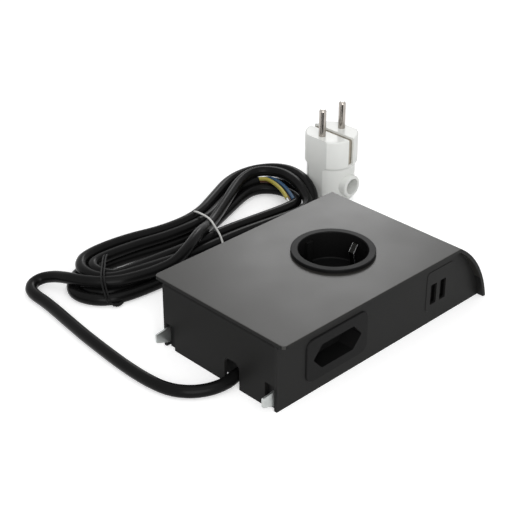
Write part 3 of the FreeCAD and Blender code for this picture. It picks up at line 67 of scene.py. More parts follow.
# Where the sheathed cord leaves the last turn and ends beside the loop's opening.
CORD_END = (
    (0.0300, 0.1306, 0.0090), (0.0460, 0.1394, 0.0076), (0.0600, 0.1448, 0.0076),
    (0.0720, 0.1454, 0.0082), (0.0800, 0.1426, 0.0088),
)
# The hank: middles of its two ends, and the bearings at which each turn is shaped there.
RIGHT_MIDDLE = (0.0680, 0.1200)
RIGHT_BEARINGS = (96, 62, 29, -4, -38, -74)
LEFT_MIDDLE = (-0.0660, 0.1180)
LEFT_BEARINGS = (-104, -142, 180, 142, 104)
# How far the straight, tied stretch reaches on each side of the wire tie.
TIED_REACH = 0.0140
# One turn to a row, in millimetres: radii and heights round the right end, place across and height
# where it runs back under the tie, the same round the left end, under the tie again, and how far
# its way back from the left end bows out.
TURNS = (
    ((24, 28.4, 25.6, 21.8, 22.8, 30.8), (13.5, 14.5, 15, 14.4, 12, 8.6), (95.6, 9.9),
     (12.8, 14.4, 16, 19, 21.5), (10.4, 10.6, 10.8, 10.8, 10.8), (130.6, 10.7), 4),
    ((33, 35.2, 34, 29, 28.4, 33.5), (10.8, 12, 14, 14.4, 11.5, 5), (90.6, 3.6),
     (23.5, 28, 29.6, 23.5, 20), (3.6, 3.6, 3.6, 3.6, 3.6), (129.2, 3.6), 4),
    ((29.5, 33, 31.5, 28, 28, 27), (3.6, 3.6, 3.6, 3.6, 3.6, 3.6), (97.8, 3.6),
     (15.8, 19.6, 21.6, 17.5, 14), (3.6, 3.6, 3.6, 3.6, 3.6), (121.8, 3.6), 2),
    ((19.5, 20, 19, 17.8, 18.6, 19), (4.6, 5, 5, 5, 6, 7.6), (104.4, 9.9),
     (7.5, 9, 10, 12, 13), (9, 10, 10.6, 10.6, 10.4), (123.6, 9.9), 2),
)

# Bare cores from the cut sheath round the loop's opening.
CORE_ROUTES = {
    "earth_core_wire": (
        (0.0785, 0.1430, 0.0100), (0.0822, 0.1385, 0.0112), (0.0826, 0.1325, 0.0112),
        (0.0808, 0.1240, 0.0110), (0.0775, 0.1150, 0.0104), (0.0742, 0.1090, 0.0096),
    ),
    "line_core_wire": (
        (0.0785, 0.1438, 0.0082), (0.0838, 0.1390, 0.0090), (0.0846, 0.1325, 0.0092),
        (0.0830, 0.1235, 0.0086), (0.0792, 0.1140, 0.0080), (0.0760, 0.1080, 0.0076),
    ),
    "neutral_core_wire": (
        (0.0790, 0.1435, 0.0085), (0.0852, 0.1390, 0.0105), (0.0866, 0.1325, 0.0108),
        (0.0850, 0.1230, 0.0104), (0.0806, 0.1120, 0.0096), (0.0770, 0.1055, 0.0090),
    ),
}
CORE_STANDS_FOR = {
    "earth_core_wire": ("earth_core", "core_green_yellow"),
    "line_core_wire": ("line_core", "core_brown"),
    "neutral_core_wire": ("neutral_core", "core_blue"),
}

# The light tie across the hank's waist, and the dark twist tie over its left end.
WIRE_TIE_LOOP = (
    (0.0125, 0.1342, 0.0040), (0.0130, 0.1352, 0.0102), (0.0118, 0.1312, 0.0148),
    (0.0112, 0.1225, 0.0156), (0.0088, 0.1130, 0.0170), (0.0056, 0.1045, 0.0154),
    (0.0022, 0.0965, 0.0143), (-0.0010, 0.0905, 0.0118), (-0.0034, 0.0860, 0.0065),
    (-0.0030, 0.0860, 0.0012), (0.0030, 0.1000, 0.0006), (0.0100, 0.1240, 0.0006),
)
TWIST_TIE_LOOP = (
    (-0.0600, 0.1300, 0.0040), (-0.0600, 0.1300, 0.0100), (-0.0650, 0.1260, 0.0152),
    (-0.0710, 0.1200, 0.0158), (-0.0770, 0.1130, 0.0158), (-0.0825, 0.1070, 0.0158),
    (-0.0866, 0.1010, 0.0140), (-0.0878, 0.0965, 0.0080), (-0.0860, 0.0965, 0.0020),
    (-0.0800, 0.1040, 0.0004), (-0.0700, 0.1180, 0.0004), (-0.0620, 0.1270, 0.0004),
)
TWIST_TAIL = (
    (-0.0864, 0.0970, 0.0030), (-0.0850, 0.0938, 0.0018), (-0.0825, 0.0925, 0.0018),
    (-0.0790, 0.0933, 0.0020), (-0.0762, 0.0950, 0.0024),
)

# Points read from a route between two of its control points.
ROUTE_STEPS = 8
# Where the yellow half of the striped core ends, and the way its green half faces.
STRIPE_BAND = (0.60, 0.62)
STRIPE_FACING = Vector((0.35, 0.45, -0.82))
# How far from its middle the earth strip's painted edge highlight starts and is full, in metres.
GLINT_BAND = (0.00165, 0.00176)
# How squarely a face of the plate looks sideways to be a cut edge.
CUT_FACE = 0.9
# Noise level from which dust shows where its share is 0, and at which it is full.
DUST_START, DUST_FULL = 0.86, 0.9
RELIEF_DEPTH = 0.0004
# Narrowest part of a crimped sleeve, per its own width, and its facets round and along.
CRIMP_WAIST = 0.86
SLEEVE_SIDES, SLEEVE_RINGS = 16, 30
# How far past the core's end a sleeve's middle stands, per its length.
SLEEVE_OUT = 0.42
# Direction from one twist tie wire to the other, and how far each winds from the tail's middle.
TWIST_ACROSS = Vector((0.92, -0.39, 0.0))
TAIL_REACH = 0.55
LIGHT_TIE_SIDES, TWIST_SIDES = 14, 12
# The floor: half its width in metres, and how much it is lifted for rays that see it.
FLOOR_REACH = 6.0
FLOOR_LIFT = 0.42
SENSOR_WIDTH = 36.0
# Lamps: place, the point they face and their width, in metres.
LAMPS = {
    "key_lamp": ((-0.20, -0.30, 1.30), (0.0, 0.05, 0.0), 1.00),
    "front_lamp": ((-0.80, -1.00, 0.55), (0.0, 0.05, 0.02), 1.10),
    "rim_lamp": ((0.77, 0.70, 0.56), (0.02, 0.03, 0.04), 0.30),
}

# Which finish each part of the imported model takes.
PARTS_BY_FINISH = {
    "black_plate": ("cover_plate",),
    "panel_paint": ("front_panel", "usb_insert"),
    "black_sheet": ("rear_panel", "end_panel", "base_cover"),
    "zinc_steel": ("front_hook", "rear_hook", "cover_studs", "stud_nuts", "base_screws",
                   "terminal_screws", "clamp_screws", "earth_stud", "earth_lug"),
    "black_moulding": ("socket_insert", "socket_ring_nut", "socket_rear_cap", "euro_insert",
                       "euro_rear_cap", "usb_tongues", "hook_guides", "cord_clamp"),
    "tape_yellow": ("charger_transformer",),
    "contact_metal": ("socket_line_contact", "socket_neutral_contact", "euro_line_contact",
                      "euro_neutral_contact", "terminal_sleeves"),
    "earth_metal": ("socket_earth_clips",),
    "strap_metal": ("plug_earth_strap",),
    "port_metal": ("usb_left_shell", "usb_right_shell"),
    "board_green": ("charger_board",),
    "capacitor_sleeve": ("charger_capacitor",),
    "terminal_white": ("terminal_block",),
    "grommet_rubber": ("cord_grommet",),
    "cord_black": ("inner_cord",),
    "core_brown": ("line_wires",),
    "core_blue": ("neutral_wires",),
    "core_green_yellow": ("earth_wires",),
    "plug_white": ("plug_front", "plug_rear"),
    "pin_nickel": ("plug_line_pin", "plug_neutral_pin"),
}


def colour_setting(name, description, default):
    return bpy.props.FloatVectorProperty(name=name, description=description, subtype="COLOR",
                                         size=3, min=0, max=1, default=default)


def length_setting(name, description, default):
    return bpy.props.FloatProperty(name=name, description=description, subtype="DISTANCE",
                                   unit="LENGTH", min=0, precision=5, default=default)


class CordSettings(bpy.types.PropertyGroup):
    diameter: length_setting("Diameter", "Outside diameter of the cord's sheath", 0.0072)
    length: length_setting("Length", "Length of the cord from the grommet to its cut end", 2.06)
    turn_relief: bpy.props.FloatProperty(
        name="Turn relief", description="How much wider a turn's points stand than its line",
        min=1, max=1.2, default=1.045)
    around: bpy.props.IntProperty(
        name="Facets", description="Rounding steps in a quarter of the cord", min=2, max=8,
        default=4)


class CoreSettings(bpy.types.PropertyGroup):
    diameter: length_setting("Diameter", "Outside diameter of a core's insulation", 0.0027)
    ferrule_diameter: length_setting("Ferrule", "Diameter of the crimped end sleeve", 0.0018)
    ferrule_length: length_setting("Ferrule length", "Length of the crimped end sleeve", 0.006)
    sides: bpy.props.IntProperty(name="Sides", description="Facets round a core", min=8, max=32,
                                 default=14)


class TieSettings(bpy.types.PropertyGroup):
    wire_diameter: length_setting("Light tie", "Thickness of the light tie", 0.0013)
    twist_diameter: length_setting("Twist tie", "Thickness of each twist tie wire", 0.0011)
    twist_gap: length_setting("Wire spacing", "Distance between the two twist tie wires", 0.0017)
    tail_turns: bpy.props.FloatProperty(name="Tail turns", description="Twists in the tie's tail",
                                        min=1, max=12, default=4)


class FinishSettings(bpy.types.PropertyGroup):
    plate: colour_setting("Plate", "Satin black of the cover plate", (0.018, 0.0172, 0.0152))
    sheet: colour_setting("Sheet", "Black of the folded sheet underneath", (0.011, 0.011, 0.0107))
    moulding: colour_setting("Moulding", "Black of the socket mouldings", (0.006, 0.006, 0.006))
    cord: colour_setting("Cord", "Black of the cord's sheath", (0.005, 0.005, 0.005))
    plug: colour_setting("Plug", "White of the rewirable plug", (0.76, 0.77, 0.745))


class StageSettings(bpy.types.PropertyGroup):
    camera_place: bpy.props.FloatVectorProperty(
        name="Camera", description="Where the camera stands", subtype="TRANSLATION", size=3,
        default=(-0.4685, -0.4183, 0.3987))
    camera_turn: bpy.props.FloatVectorProperty(
        name="Camera turn", description="Tilt, roll and heading of the camera", subtype="EULER",
        size=3, default=(math.radians(60.19), 0.0, math.radians(-44.27)))
    lens: bpy.props.FloatProperty(name="Lens", description="Focal length in millimetres",
                                  min=10, max=300, default=89.92)
    floor: colour_setting("Floor", "Colour of the floor", (0.86, 0.86, 0.86))
    sky: bpy.props.FloatProperty(name="Room light", description="Strength of the room's light",
                                 min=0, max=3, default=0.50)
    key_power: bpy.props.FloatProperty(name="Key lamp", description="Overhead lamp, in watts",
                                       min=0, max=200, default=3.0)
    front_power: bpy.props.FloatProperty(
        name="Front lamp", description="Large lamp on the camera's side, in watts", min=0, max=200,
        default=14.0)
    rim_power: bpy.props.FloatProperty(
        name="Rim lamp", description="Low lamp behind that glosses the plate, in watts", min=0,
        max=200, default=1.5)


class ModuleSettings(bpy.types.PropertyGroup):
    cord: bpy.props.PointerProperty(type=CordSettings, name="Cord", description="Mains cord")
    cores: bpy.props.PointerProperty(type=CoreSettings, name="Cores", description="Bare cores")
    ties: bpy.props.PointerProperty(type=TieSettings, name="Ties", description="Ties")
    finish: bpy.props.PointerProperty(type=FinishSettings, name="Finish", description="Finishes")
    stage: bpy.props.PointerProperty(type=StageSettings, name="Stage", description="Studio")


def link(tree, source, target):
    tree.links.new(source, target)


def group_tree(name, inputs, outputs):
    """A shader node group with named number inputs and named outputs."""
    tree = bpy.data.node_groups.new(name, "ShaderNodeTree")
    for label, kind, default in inputs:
        socket = tree.interface.new_socket(label, in_out="INPUT", socket_type=kind)
        if default is not None:
            socket.default_value = default
    for label, kind in outputs:
        tree.interface.new_socket(label, in_out="OUTPUT", socket_type=kind)
    return tree, tree.nodes.new("NodeGroupInput"), tree.nodes.new("NodeGroupOutput")


def noise(tree, place, scale, detail, roughness=0.55):
    node = tree.nodes.new("ShaderNodeTexNoise")
    node.inputs["Detail"].default_value = detail
    node.inputs["Roughness"].default_value = roughness
    link(tree, place, node.inputs["Vector"])
    if isinstance(scale, (int, float)):
        node.inputs["Scale"].default_value = scale
    else:
        link(tree, scale, node.inputs["Scale"])
    return node


def spread(tree, value, low, high, to_low, to_high):
    """A number's range moved to another range."""
    node = tree.nodes.new("ShaderNodeMapRange")
    for label, amount in (("From Min", low), ("From Max", high), ("To Min", to_low),
                          ("To Max", to_high)):
        if isinstance(amount, (int, float)):
            node.inputs[label].default_value = amount
        else:
            link(tree, amount, node.inputs[label])
    link(tree, value, node.inputs["Value"])
    return node.outputs["Result"]


def grain_group():
    """Fine surface grain: a height for bumps."""
    tree, given, made = group_tree(
        "FineGrain",
        [("Vector", "NodeSocketVector", None), ("Scale", "NodeSocketFloat", 900.0)],
        [("Height", "NodeSocketFloat")])
    fine = noise(tree, given.outputs["Vector"], given.outputs["Scale"], 3)
    link(tree, fine.outputs["Fac"], made.inputs["Height"])
    return tree


def mottle_group():
    """Slow unevenness of a finish, with a share of fine dust: two masks from 0 to 1."""
    tree, given, made = group_tree(
        "Mottle",
        [("Vector", "NodeSocketVector", None), ("Scale", "NodeSocketFloat", 40.0),
         ("Dust Scale", "NodeSocketFloat", 700.0), ("Dust Share", "NodeSocketFloat", 0.3)],
        [("Mottle", "NodeSocketFloat"), ("Dust", "NodeSocketFloat")])
    slow = noise(tree, given.outputs["Vector"], given.outputs["Scale"], 4)
    link(tree, spread(tree, slow.outputs["Fac"], 0.3, 0.7, 0.0, 1.0), made.inputs["Mottle"])
    specks = noise(tree, given.outputs["Vector"], given.outputs["Dust Scale"], 2)
    threshold = tree.nodes.new("ShaderNodeMath")
    threshold.operation = "SUBTRACT"
    threshold.inputs[0].default_value = DUST_START
    link(tree, given.outputs["Dust Share"], threshold.inputs[1])
    dust = spread(tree, specks.outputs["Fac"], threshold.outputs[0], DUST_FULL, 0.0, 1.0)
    link(tree, dust, made.inputs["Dust"])
    return tree


GROUPS = {}


def shared(name):
    if name not in GROUPS:
        GROUPS[name] = {"FineGrain": grain_group, "Mottle": mottle_group}[name]()
    return GROUPS[name]


def place_group(tree, name, vector, **numbers):
    node = tree.nodes.new("ShaderNodeGroup")
    node.node_tree = shared(name)
    link(tree, vector, node.inputs["Vector"])
    for label, amount in numbers.items():
        node.inputs[label.replace("_", " ")].default_value = amount
    return node


def mix_colour(tree, share, first, second):
    node = tree.nodes.new("ShaderNodeMix")
    node.data_type = "RGBA"
    link(tree, share, node.inputs["Factor"])
    for socket, value in ((node.inputs[6], first), (node.inputs[7], second)):
        if isinstance(value, tuple):
            socket.default_value = value
        else:
            link(tree, value, socket)
    return node.outputs[2]


def tone(colour, share):
    return tuple(min(1.0, c * share) for c in colour) + (1.0,)


def surface(name, colour, rough=(0.4, 0.5), metal=0.0, grain=900.0, bump=0.02, mottle=40.0,
            vary=0.12, dust=0.25, shine=0.35):
    """A finish whose colour, roughness and relief all vary over the surface."""
    material = bpy.data.materials.new(name)
    material.use_nodes = True
    tree = material.node_tree
    shader = tree.nodes["Principled BSDF"]
    place = tree.nodes.new("ShaderNodeTexCoord").outputs["Object"]
    uneven = place_group(tree, "Mottle", place, Scale=mottle, Dust_Share=dust)
    base = mix_colour(tree, uneven.outputs["Mottle"], tone(colour, 1 - vary),
                      tone(colour, 1 + vary))
    base = mix_colour(tree, uneven.outputs["Dust"], base, tone(colour, 1 + 2 * vary))
    link(tree, base, shader.inputs["Base Color"])
    link(tree, spread(tree, uneven.outputs["Mottle"], 0, 1, *rough), shader.inputs["Roughness"])
    relief = place_group(tree, "FineGrain", place, Scale=grain)
    lift = tree.nodes.new("ShaderNodeBump")
    lift.inputs["Strength"].default_value = bump
    lift.inputs["Distance"].default_value = RELIEF_DEPTH
    link(tree, relief.outputs["Height"], lift.inputs["Height"])
    link(tree, lift.outputs["Normal"], shader.inputs["Normal"])
    shader.inputs["Metallic"].default_value = metal
    shader.inputs["Specular IOR Level"].default_value = shine
    return material


def strand_tree():
    """Geometry nodes that turn a route into a round strand, with its ends closed."""
    tree = bpy.data.node_groups.new("RoundStrand", "GeometryNodeTree")
    tree.interface.new_socket("Geometry", in_out="INPUT", socket_type="NodeSocketGeometry")
    for label, kind, default in (("Radius", "NodeSocketFloat", 0.001),
                                 ("Sides", "NodeSocketInt", 12),
                                 ("Material", "NodeSocketMaterial", None)):
        socket = tree.interface.new_socket(label, in_out="INPUT", socket_type=kind)
        if default is not None:
            socket.default_value = default
    tree.interface.new_socket("Geometry", in_out="OUTPUT", socket_type="NodeSocketGeometry")
    given, made = tree.nodes.new("NodeGroupInput"), tree.nodes.new("NodeGroupOutput")
    ring = tree.nodes.new("GeometryNodeCurvePrimitiveCircle")
    link(tree, given.outputs["Radius"], ring.inputs["Radius"])
    link(tree, given.outputs["Sides"], ring.inputs["Resolution"])
    sweep = tree.nodes.new("GeometryNodeCurveToMesh")
    sweep.inputs["Fill Caps"].default_value = True
    link(tree, given.outputs["Geometry"], sweep.inputs["Curve"])
    link(tree, ring.outputs["Curve"], sweep.inputs["Profile Curve"])
    smooth = tree.nodes.new("GeometryNodeSetShadeSmooth")
    link(tree, sweep.outputs["Mesh"], smooth.inputs["Geometry"])
    real = tree.nodes.new("GeometryNodeRealizeInstances")
    link(tree, smooth.outputs["Geometry"], real.inputs["Geometry"])
    paint = tree.nodes.new("GeometryNodeSetMaterial")
    link(tree, real.outputs["Geometry"], paint.inputs["Geometry"])
    link(tree, given.outputs["Material"], paint.inputs["Material"])
    link(tree, paint.outputs["Geometry"], made.inputs["Geometry"])
    return tree


def sleeve_tree():
    """Geometry nodes that stand a crimped sleeve on each point, turned along its normal."""
    tree = bpy.data.node_groups.new("CrimpedSleeves", "GeometryNodeTree")
    tree.interface.new_socket("Geometry", in_out="INPUT", socket_type="NodeSocketGeometry")
    for label, kind, default in (("Radius", "NodeSocketFloat", 0.0009),
                                 ("Length", "NodeSocketFloat", 0.006),
                                 ("Crimps", "NodeSocketFloat", 5.0),
                                 ("Material", "NodeSocketMaterial", None)):
        socket = tree.interface.new_socket(label, in_out="INPUT", socket_type=kind)
        if default is not None:
            socket.default_value = default
    tree.interface.new_socket("Geometry", in_out="OUTPUT", socket_type="NodeSocketGeometry")
    given, made = tree.nodes.new("NodeGroupInput"), tree.nodes.new("NodeGroupOutput")
    tube = tree.nodes.new("GeometryNodeMeshCylinder")
    tube.inputs["Vertices"].default_value = SLEEVE_SIDES
    tube.inputs["Side Segments"].default_value = SLEEVE_RINGS
    link(tree, given.outputs["Radius"], tube.inputs["Radius"])
    link(tree, given.outputs["Length"], tube.inputs["Depth"])
    place = tree.nodes.new("GeometryNodeInputPosition")
    apart = tree.nodes.new("ShaderNodeSeparateXYZ")
    link(tree, place.outputs["Position"], apart.inputs[0])
    share = tree.nodes.new("ShaderNodeMath")
    share.operation = "DIVIDE"
    link(tree, apart.outputs["Z"], share.inputs[0])
    link(tree, given.outputs["Length"], share.inputs[1])
    phase = tree.nodes.new("ShaderNodeMath")
    phase.operation = "MULTIPLY"
    link(tree, share.outputs[0], phase.inputs[0])
    link(tree, given.outputs["Crimps"], phase.inputs[1])
    wave = tree.nodes.new("ShaderNodeMath")
    wave.operation = "PINGPONG"
    wave.inputs[1].default_value = 0.5
    link(tree, phase.outputs[0], wave.inputs[0])
    width = spread(tree, wave.outputs[0], 0.0, 0.5, CRIMP_WAIST, 1.0)
    scaled = tree.nodes.new("ShaderNodeCombineXYZ")
    for axis in ("X", "Y"):
        times = tree.nodes.new("ShaderNodeMath")
        times.operation = "MULTIPLY"
        link(tree, apart.outputs[axis], times.inputs[0])
        link(tree, width, times.inputs[1])
        link(tree, times.outputs[0], scaled.inputs[axis])
    link(tree, apart.outputs["Z"], scaled.inputs["Z"])
    pinch = tree.nodes.new("GeometryNodeSetPosition")
    link(tree, tube.outputs["Mesh"], pinch.inputs["Geometry"])
    link(tree, scaled.outputs[0], pinch.inputs["Position"])
    stand = tree.nodes.new("GeometryNodeInstanceOnPoints")
    link(tree, given.outputs["Geometry"], stand.inputs["Points"])
    link(tree, pinch.outputs["Geometry"], stand.inputs["Instance"])
    aim = tree.nodes.new("FunctionNodeAlignRotationToVector")
    aim.axis = "Z"
    heading = tree.nodes.new("GeometryNodeInputNamedAttribute")
    heading.data_type = "FLOAT_VECTOR"
    heading.inputs["Name"].default_value = "heading"
    link(tree, heading.outputs["Attribute"], aim.inputs["Vector"])
    link(tree, aim.outputs["Rotation"], stand.inputs["Rotation"])
    real = tree.nodes.new("GeometryNodeRealizeInstances")
    link(tree, stand.outputs["Instances"], real.inputs["Geometry"])
    paint = tree.nodes.new("GeometryNodeSetMaterial")
    link(tree, real.outputs["Geometry"], paint.inputs["Geometry"])
    link(tree, given.outputs["Material"], paint.inputs["Material"])
    link(tree, paint.outputs["Geometry"], made.inputs["Geometry"])
    return tree


TREES = {}


def geometry_tree(name):
    if name not in TREES:
        TREES[name] = {"RoundStrand": strand_tree, "CrimpedSleeves": sleeve_tree}[name]()
    return TREES[name]


def grow(name, base, tree, **inputs):
    """Runs a geometry tree on an object and keeps the result as a plain mesh."""
    modifier = base.modifiers.new(tree.name, "NODES")
    modifier.node_group = tree
    for item in tree.interface.items_tree:
        if item.in_out == "INPUT" and item.name in inputs:
            modifier[item.identifier] = inputs[item.name]
    bpy.context.view_layer.update()
    mesh = bpy.data.meshes.new_from_object(
        base.evaluated_get(bpy.context.evaluated_depsgraph_get()))
    base.modifiers.remove(modifier)
    bpy.data.objects.remove(base)
    mesh.name = name
    piece = bpy.data.objects.new(name, mesh)
    bpy.context.scene.collection.objects.link(piece)
    return piece


def nurbs(name, points, closed=False):
    """A smooth NURBS route through the given control points."""
    curve = bpy.data.curves.new(name, "CURVE")
    curve.dimensions = "3D"
    curve.resolution_u = ROUTE_STEPS
    spline = curve.splines.new("NURBS")
    spline.points.add(len(points) - 1)
    for point, place in zip(spline.points, points):
        point.co = (*place, 1.0)
    spline.use_cyclic_u = closed
    spline.order_u = 3
    spline.use_endpoint_u = not closed
    piece = bpy.data.objects.new(name, curve)
    bpy.context.scene.collection.objects.link(piece)
    return piece


def route_points(points, closed=False):
    """Points read from a route's own smooth line."""
    route = nurbs("route", points, closed)
    line = bpy.data.meshes.new_from_object(route)
    found = [v.co.copy() for v in line.vertices]
    bpy.data.meshes.remove(line)
    bpy.data.objects.remove(route)
    return found


def round_bend(middle, bearings, radii, heights, relief):
    """Control points of one turn round an end of the hank."""
    points = []
    for bearing, radius, height in zip(bearings, radii, heights):
        angle, reach = math.radians(bearing), radius * MM * relief
        points.append(Vector((middle[0] + reach * math.cos(angle),
                              middle[1] + reach * math.sin(angle), height * MM)))
    return points


def hank_points(relief):
    """The cord's turns, from where the lead reaches the tie to where the last turn leaves it."""
    points = []
    before = Vector(LEAD[-1])
    for right_radii, right_heights, front, left_radii, left_heights, back, bow in TURNS:
        right = round_bend(RIGHT_MIDDLE, RIGHT_BEARINGS, right_radii, right_heights, relief)
        left = round_bend(LEFT_MIDDLE, LEFT_BEARINGS, left_radii, left_heights, relief)
        front_right = Vector((TIED_REACH, front[0] * MM, front[1] * MM))
        front_left = Vector((-TIED_REACH, front[0] * MM, front[1] * MM))
        back_left = Vector((-TIED_REACH, back[0] * MM, back[1] * MM))
        back_right = Vector((TIED_REACH, back[0] * MM, back[1] * MM))
        points += [before.lerp(right[0], 0.5), *right, right[-1].lerp(front_right, 0.55),
                   front_right, front_left, front_left.lerp(left[0], 0.5), *left,
                   left[-1].lerp(back_left, 0.5) + Vector((0, bow * MM, 0)), back_left, back_right]
        before = back_right
    return points


def seat_piece(piece, slot, *nodes):
    """Rides the piece on the module and lets it stand for its CAD nodes."""
    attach(piece, BODY)
    if nodes:
        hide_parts(*nodes)
    return piece


def striped_core(name, first, second):
    """Insulation with two colours side by side along the core."""
    material = surface(name, first, rough=(0.38, 0.48), grain=1500.0, bump=0.01)
    tree = material.node_tree
    shader = tree.nodes["Principled BSDF"]
    around = tree.nodes.new("ShaderNodeAttribute")
    around.attribute_name = "around"
    band = spread(tree, around.outputs["Fac"], *STRIPE_BAND, 0.0, 1.0)
    plain = shader.inputs["Base Color"].links[0].from_socket
    link(tree, mix_colour(tree, band, plain, tone(second, 1)), shader.inputs["Base Color"])
    return material


def painted_glint_strip(name, face, glint_colour):
    """Sprung strip with its face coloured near black as painted shade, and a painted highlight
    along the edges at its two sides.
    """
    material = surface(name, face, rough=(0.30, 0.42), metal=1.0, grain=900.0, bump=0.02,
                       mottle=120.0)
    tree = material.node_tree
    shader = tree.nodes["Principled BSDF"]
    place = tree.nodes.new("ShaderNodeTexCoord").outputs["Object"]
    apart = tree.nodes.new("ShaderNodeSeparateXYZ")
    link(tree, place, apart.inputs[0])
    side = tree.nodes.new("ShaderNodeMath")
    side.operation = "ABSOLUTE"
    link(tree, apart.outputs["Y"], side.inputs[0])
    glint = spread(tree, side.outputs[0], *GLINT_BAND, 0.0, 1.0)
    plain = shader.inputs["Base Color"].links[0].from_socket
    link(tree, mix_colour(tree, glint, plain, tone(glint_colour, 1)), shader.inputs["Base Color"])
    return material


def build_finishes():
    pick = bpy.context.scene.power_module.finish
    plate, sheet = tuple(pick.plate), tuple(pick.sheet)
    moulding, cord, plug = tuple(pick.moulding), tuple(pick.cord), tuple(pick.plug)
    return {
        "black_plate": surface("satin black paint", plate, rough=(0.31, 0.37), grain=2600.0,
                               bump=0.05, vary=0.08, mottle=22.0, shine=0.34),
        "panel_paint": surface("matt black paint", sheet, rough=(0.38, 0.46), grain=2200.0,
                               bump=0.06, vary=0.08, mottle=24.0, shine=0.07),
        "black_sheet": surface("black coated sheet", sheet, rough=(0.38, 0.46), grain=1800.0,
                               bump=0.06, vary=0.10, mottle=30.0, shine=0.06),
        "zinc_steel": surface("zinc plated steel", (0.50, 0.52, 0.51), rough=(0.34, 0.48),
                              metal=1.0, grain=800.0, bump=0.08, mottle=160.0, vary=0.14),
        "black_moulding": surface("black moulding", moulding, rough=(0.36, 0.44), grain=1400.0,
                                  bump=0.03, vary=0.10, shine=0.06),
        "tape_yellow": surface("yellow winding tape", (0.55, 0.40, 0.06), rough=(0.30, 0.42)),
        "contact_metal": surface("brass contact", (0.60, 0.44, 0.20), rough=(0.25, 0.38),
                                 metal=1.0, grain=900.0, bump=0.03, mottle=150.0),
        # The earth clips' near-black face is painted shade, and their bright side edges are a
        # painted highlight.
        "earth_metal": painted_glint_strip("strip painted dark with painted edge glint", (0.016, 0.016, 0.015),
                                   (0.85, 0.86, 0.86)),
        # The strap's dark brown-grey is partly its metal's tone and partly painted shade of its
        # sunken channel.
        "strap_metal": surface("nickel strap with painted shade", (0.34, 0.31, 0.26), rough=(0.24, 0.36), metal=1.0,
                               grain=900.0, bump=0.03, mottle=120.0),
        # The port shells are coloured near black as painted shade of their deep slots.
        "port_metal": surface("port shell painted dark as shade", (0.02, 0.02, 0.02), rough=(0.45, 0.55),
                              metal=1.0, grain=1200.0, bump=0.02, mottle=150.0),
        "board_green": surface("green board", (0.02, 0.12, 0.05), rough=(0.35, 0.45),
                               grain=1100.0, bump=0.04, mottle=300.0),
        "capacitor_sleeve": surface("capacitor sleeve", (0.03, 0.03, 0.05), rough=(0.25, 0.35)),
        "terminal_white": surface("white nylon", (0.72, 0.70, 0.64), rough=(0.40, 0.50)),
        "grommet_rubber": surface("grommet rubber", (0.008, 0.008, 0.008), rough=(0.50, 0.62),
                                  grain=1000.0, bump=0.06, shine=0.12),
        "cord_black": surface("cord sheath", cord, rough=(0.22, 0.28), grain=1300.0, bump=0.04,
                              mottle=60.0, vary=0.14, shine=0.07),
        "core_brown": surface("brown core", (0.11, 0.035, 0.014), rough=(0.36, 0.46)),
        "core_blue": surface("blue core", (0.025, 0.075, 0.150), rough=(0.36, 0.46)),
        "core_green_yellow": striped_core("green and yellow core", (0.40, 0.34, 0.06),
                                          (0.03, 0.16, 0.05)),
        "tie_light": surface("light tie", (0.62, 0.62, 0.60), rough=(0.35, 0.45)),
        "tie_black": surface("dark tie", (0.007, 0.007, 0.007), rough=(0.35, 0.48), shine=0.10),
        "ferrule_tin": surface("tinned ferrule", (0.66, 0.66, 0.64), rough=(0.30, 0.42),
                               metal=1.0, grain=1600.0, bump=0.04),
        "plug_white": surface("white plug moulding", plug, rough=(0.20, 0.28), grain=1200.0,
                              bump=0.01, vary=0.02, mottle=50.0, dust=0.15, shine=0.18),
        # The pins are coloured darker than bare nickel, as painted shade of the dark surroundings
        # they reflect.
        "pin_nickel": surface("nickel pin with painted shade", (0.40, 0.37, 0.34), rough=(0.16, 0.26), metal=1.0,
                              grain=1200.0, bump=0.02, mottle=200.0),
    }


FINISHES = {}


def finish(slot):
    if not FINISHES:
        FINISHES.update(build_finishes())
    return FINISHES[slot]


class DressParts(bpy.types.Operator):
    """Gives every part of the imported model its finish"""
    bl_idname = "power_module.dress_parts"
    bl_label = "Dress the module's parts"

    def execute(self, context):
        for slot, nodes in PARTS_BY_FINISH.items():
            for node in nodes:
                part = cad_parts[node]
                part.data.materials.clear()
                part.data.materials.append(finish(slot))
        dull_cut_edges(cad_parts["cover_plate"])
        return {"FINISHED"}


def dull_cut_edges(plate):
    """Gives the plate's upright cut edges the matt paint of the panels under them."""
    plate.data.materials.append(finish("panel_paint"))
    for face in plate.data.polygons:
        if abs(face.normal.y) > CUT_FACE or face.normal.x < -CUT_FACE:
            face.material_index = 1


class LayCord(bpy.types.Operator):
    """Lays the mains cord from the grommet to its tied hank"""
    bl_idname = "power_module.lay_cord"
    bl_label = "Lay the mains cord"

    def execute(self, context):
        sizes = context.scene.power_module.cord
        points = [Vector(p) for p in LEAD]
        points += hank_points(sizes.turn_relief)
        points += [Vector(p) for p in CORD_END]
        cord = nurbs("mains_cord", points)
        cord.data.bevel_depth = sizes.diameter / 2
        cord.data.bevel_resolution = sizes.around
        cord.data.use_fill_caps = True
        cord.data.materials.append(finish("cord_black"))
        seat_piece(cord, "cord_black", "cord_tube", "cord_coil")
        return {"FINISHED"}


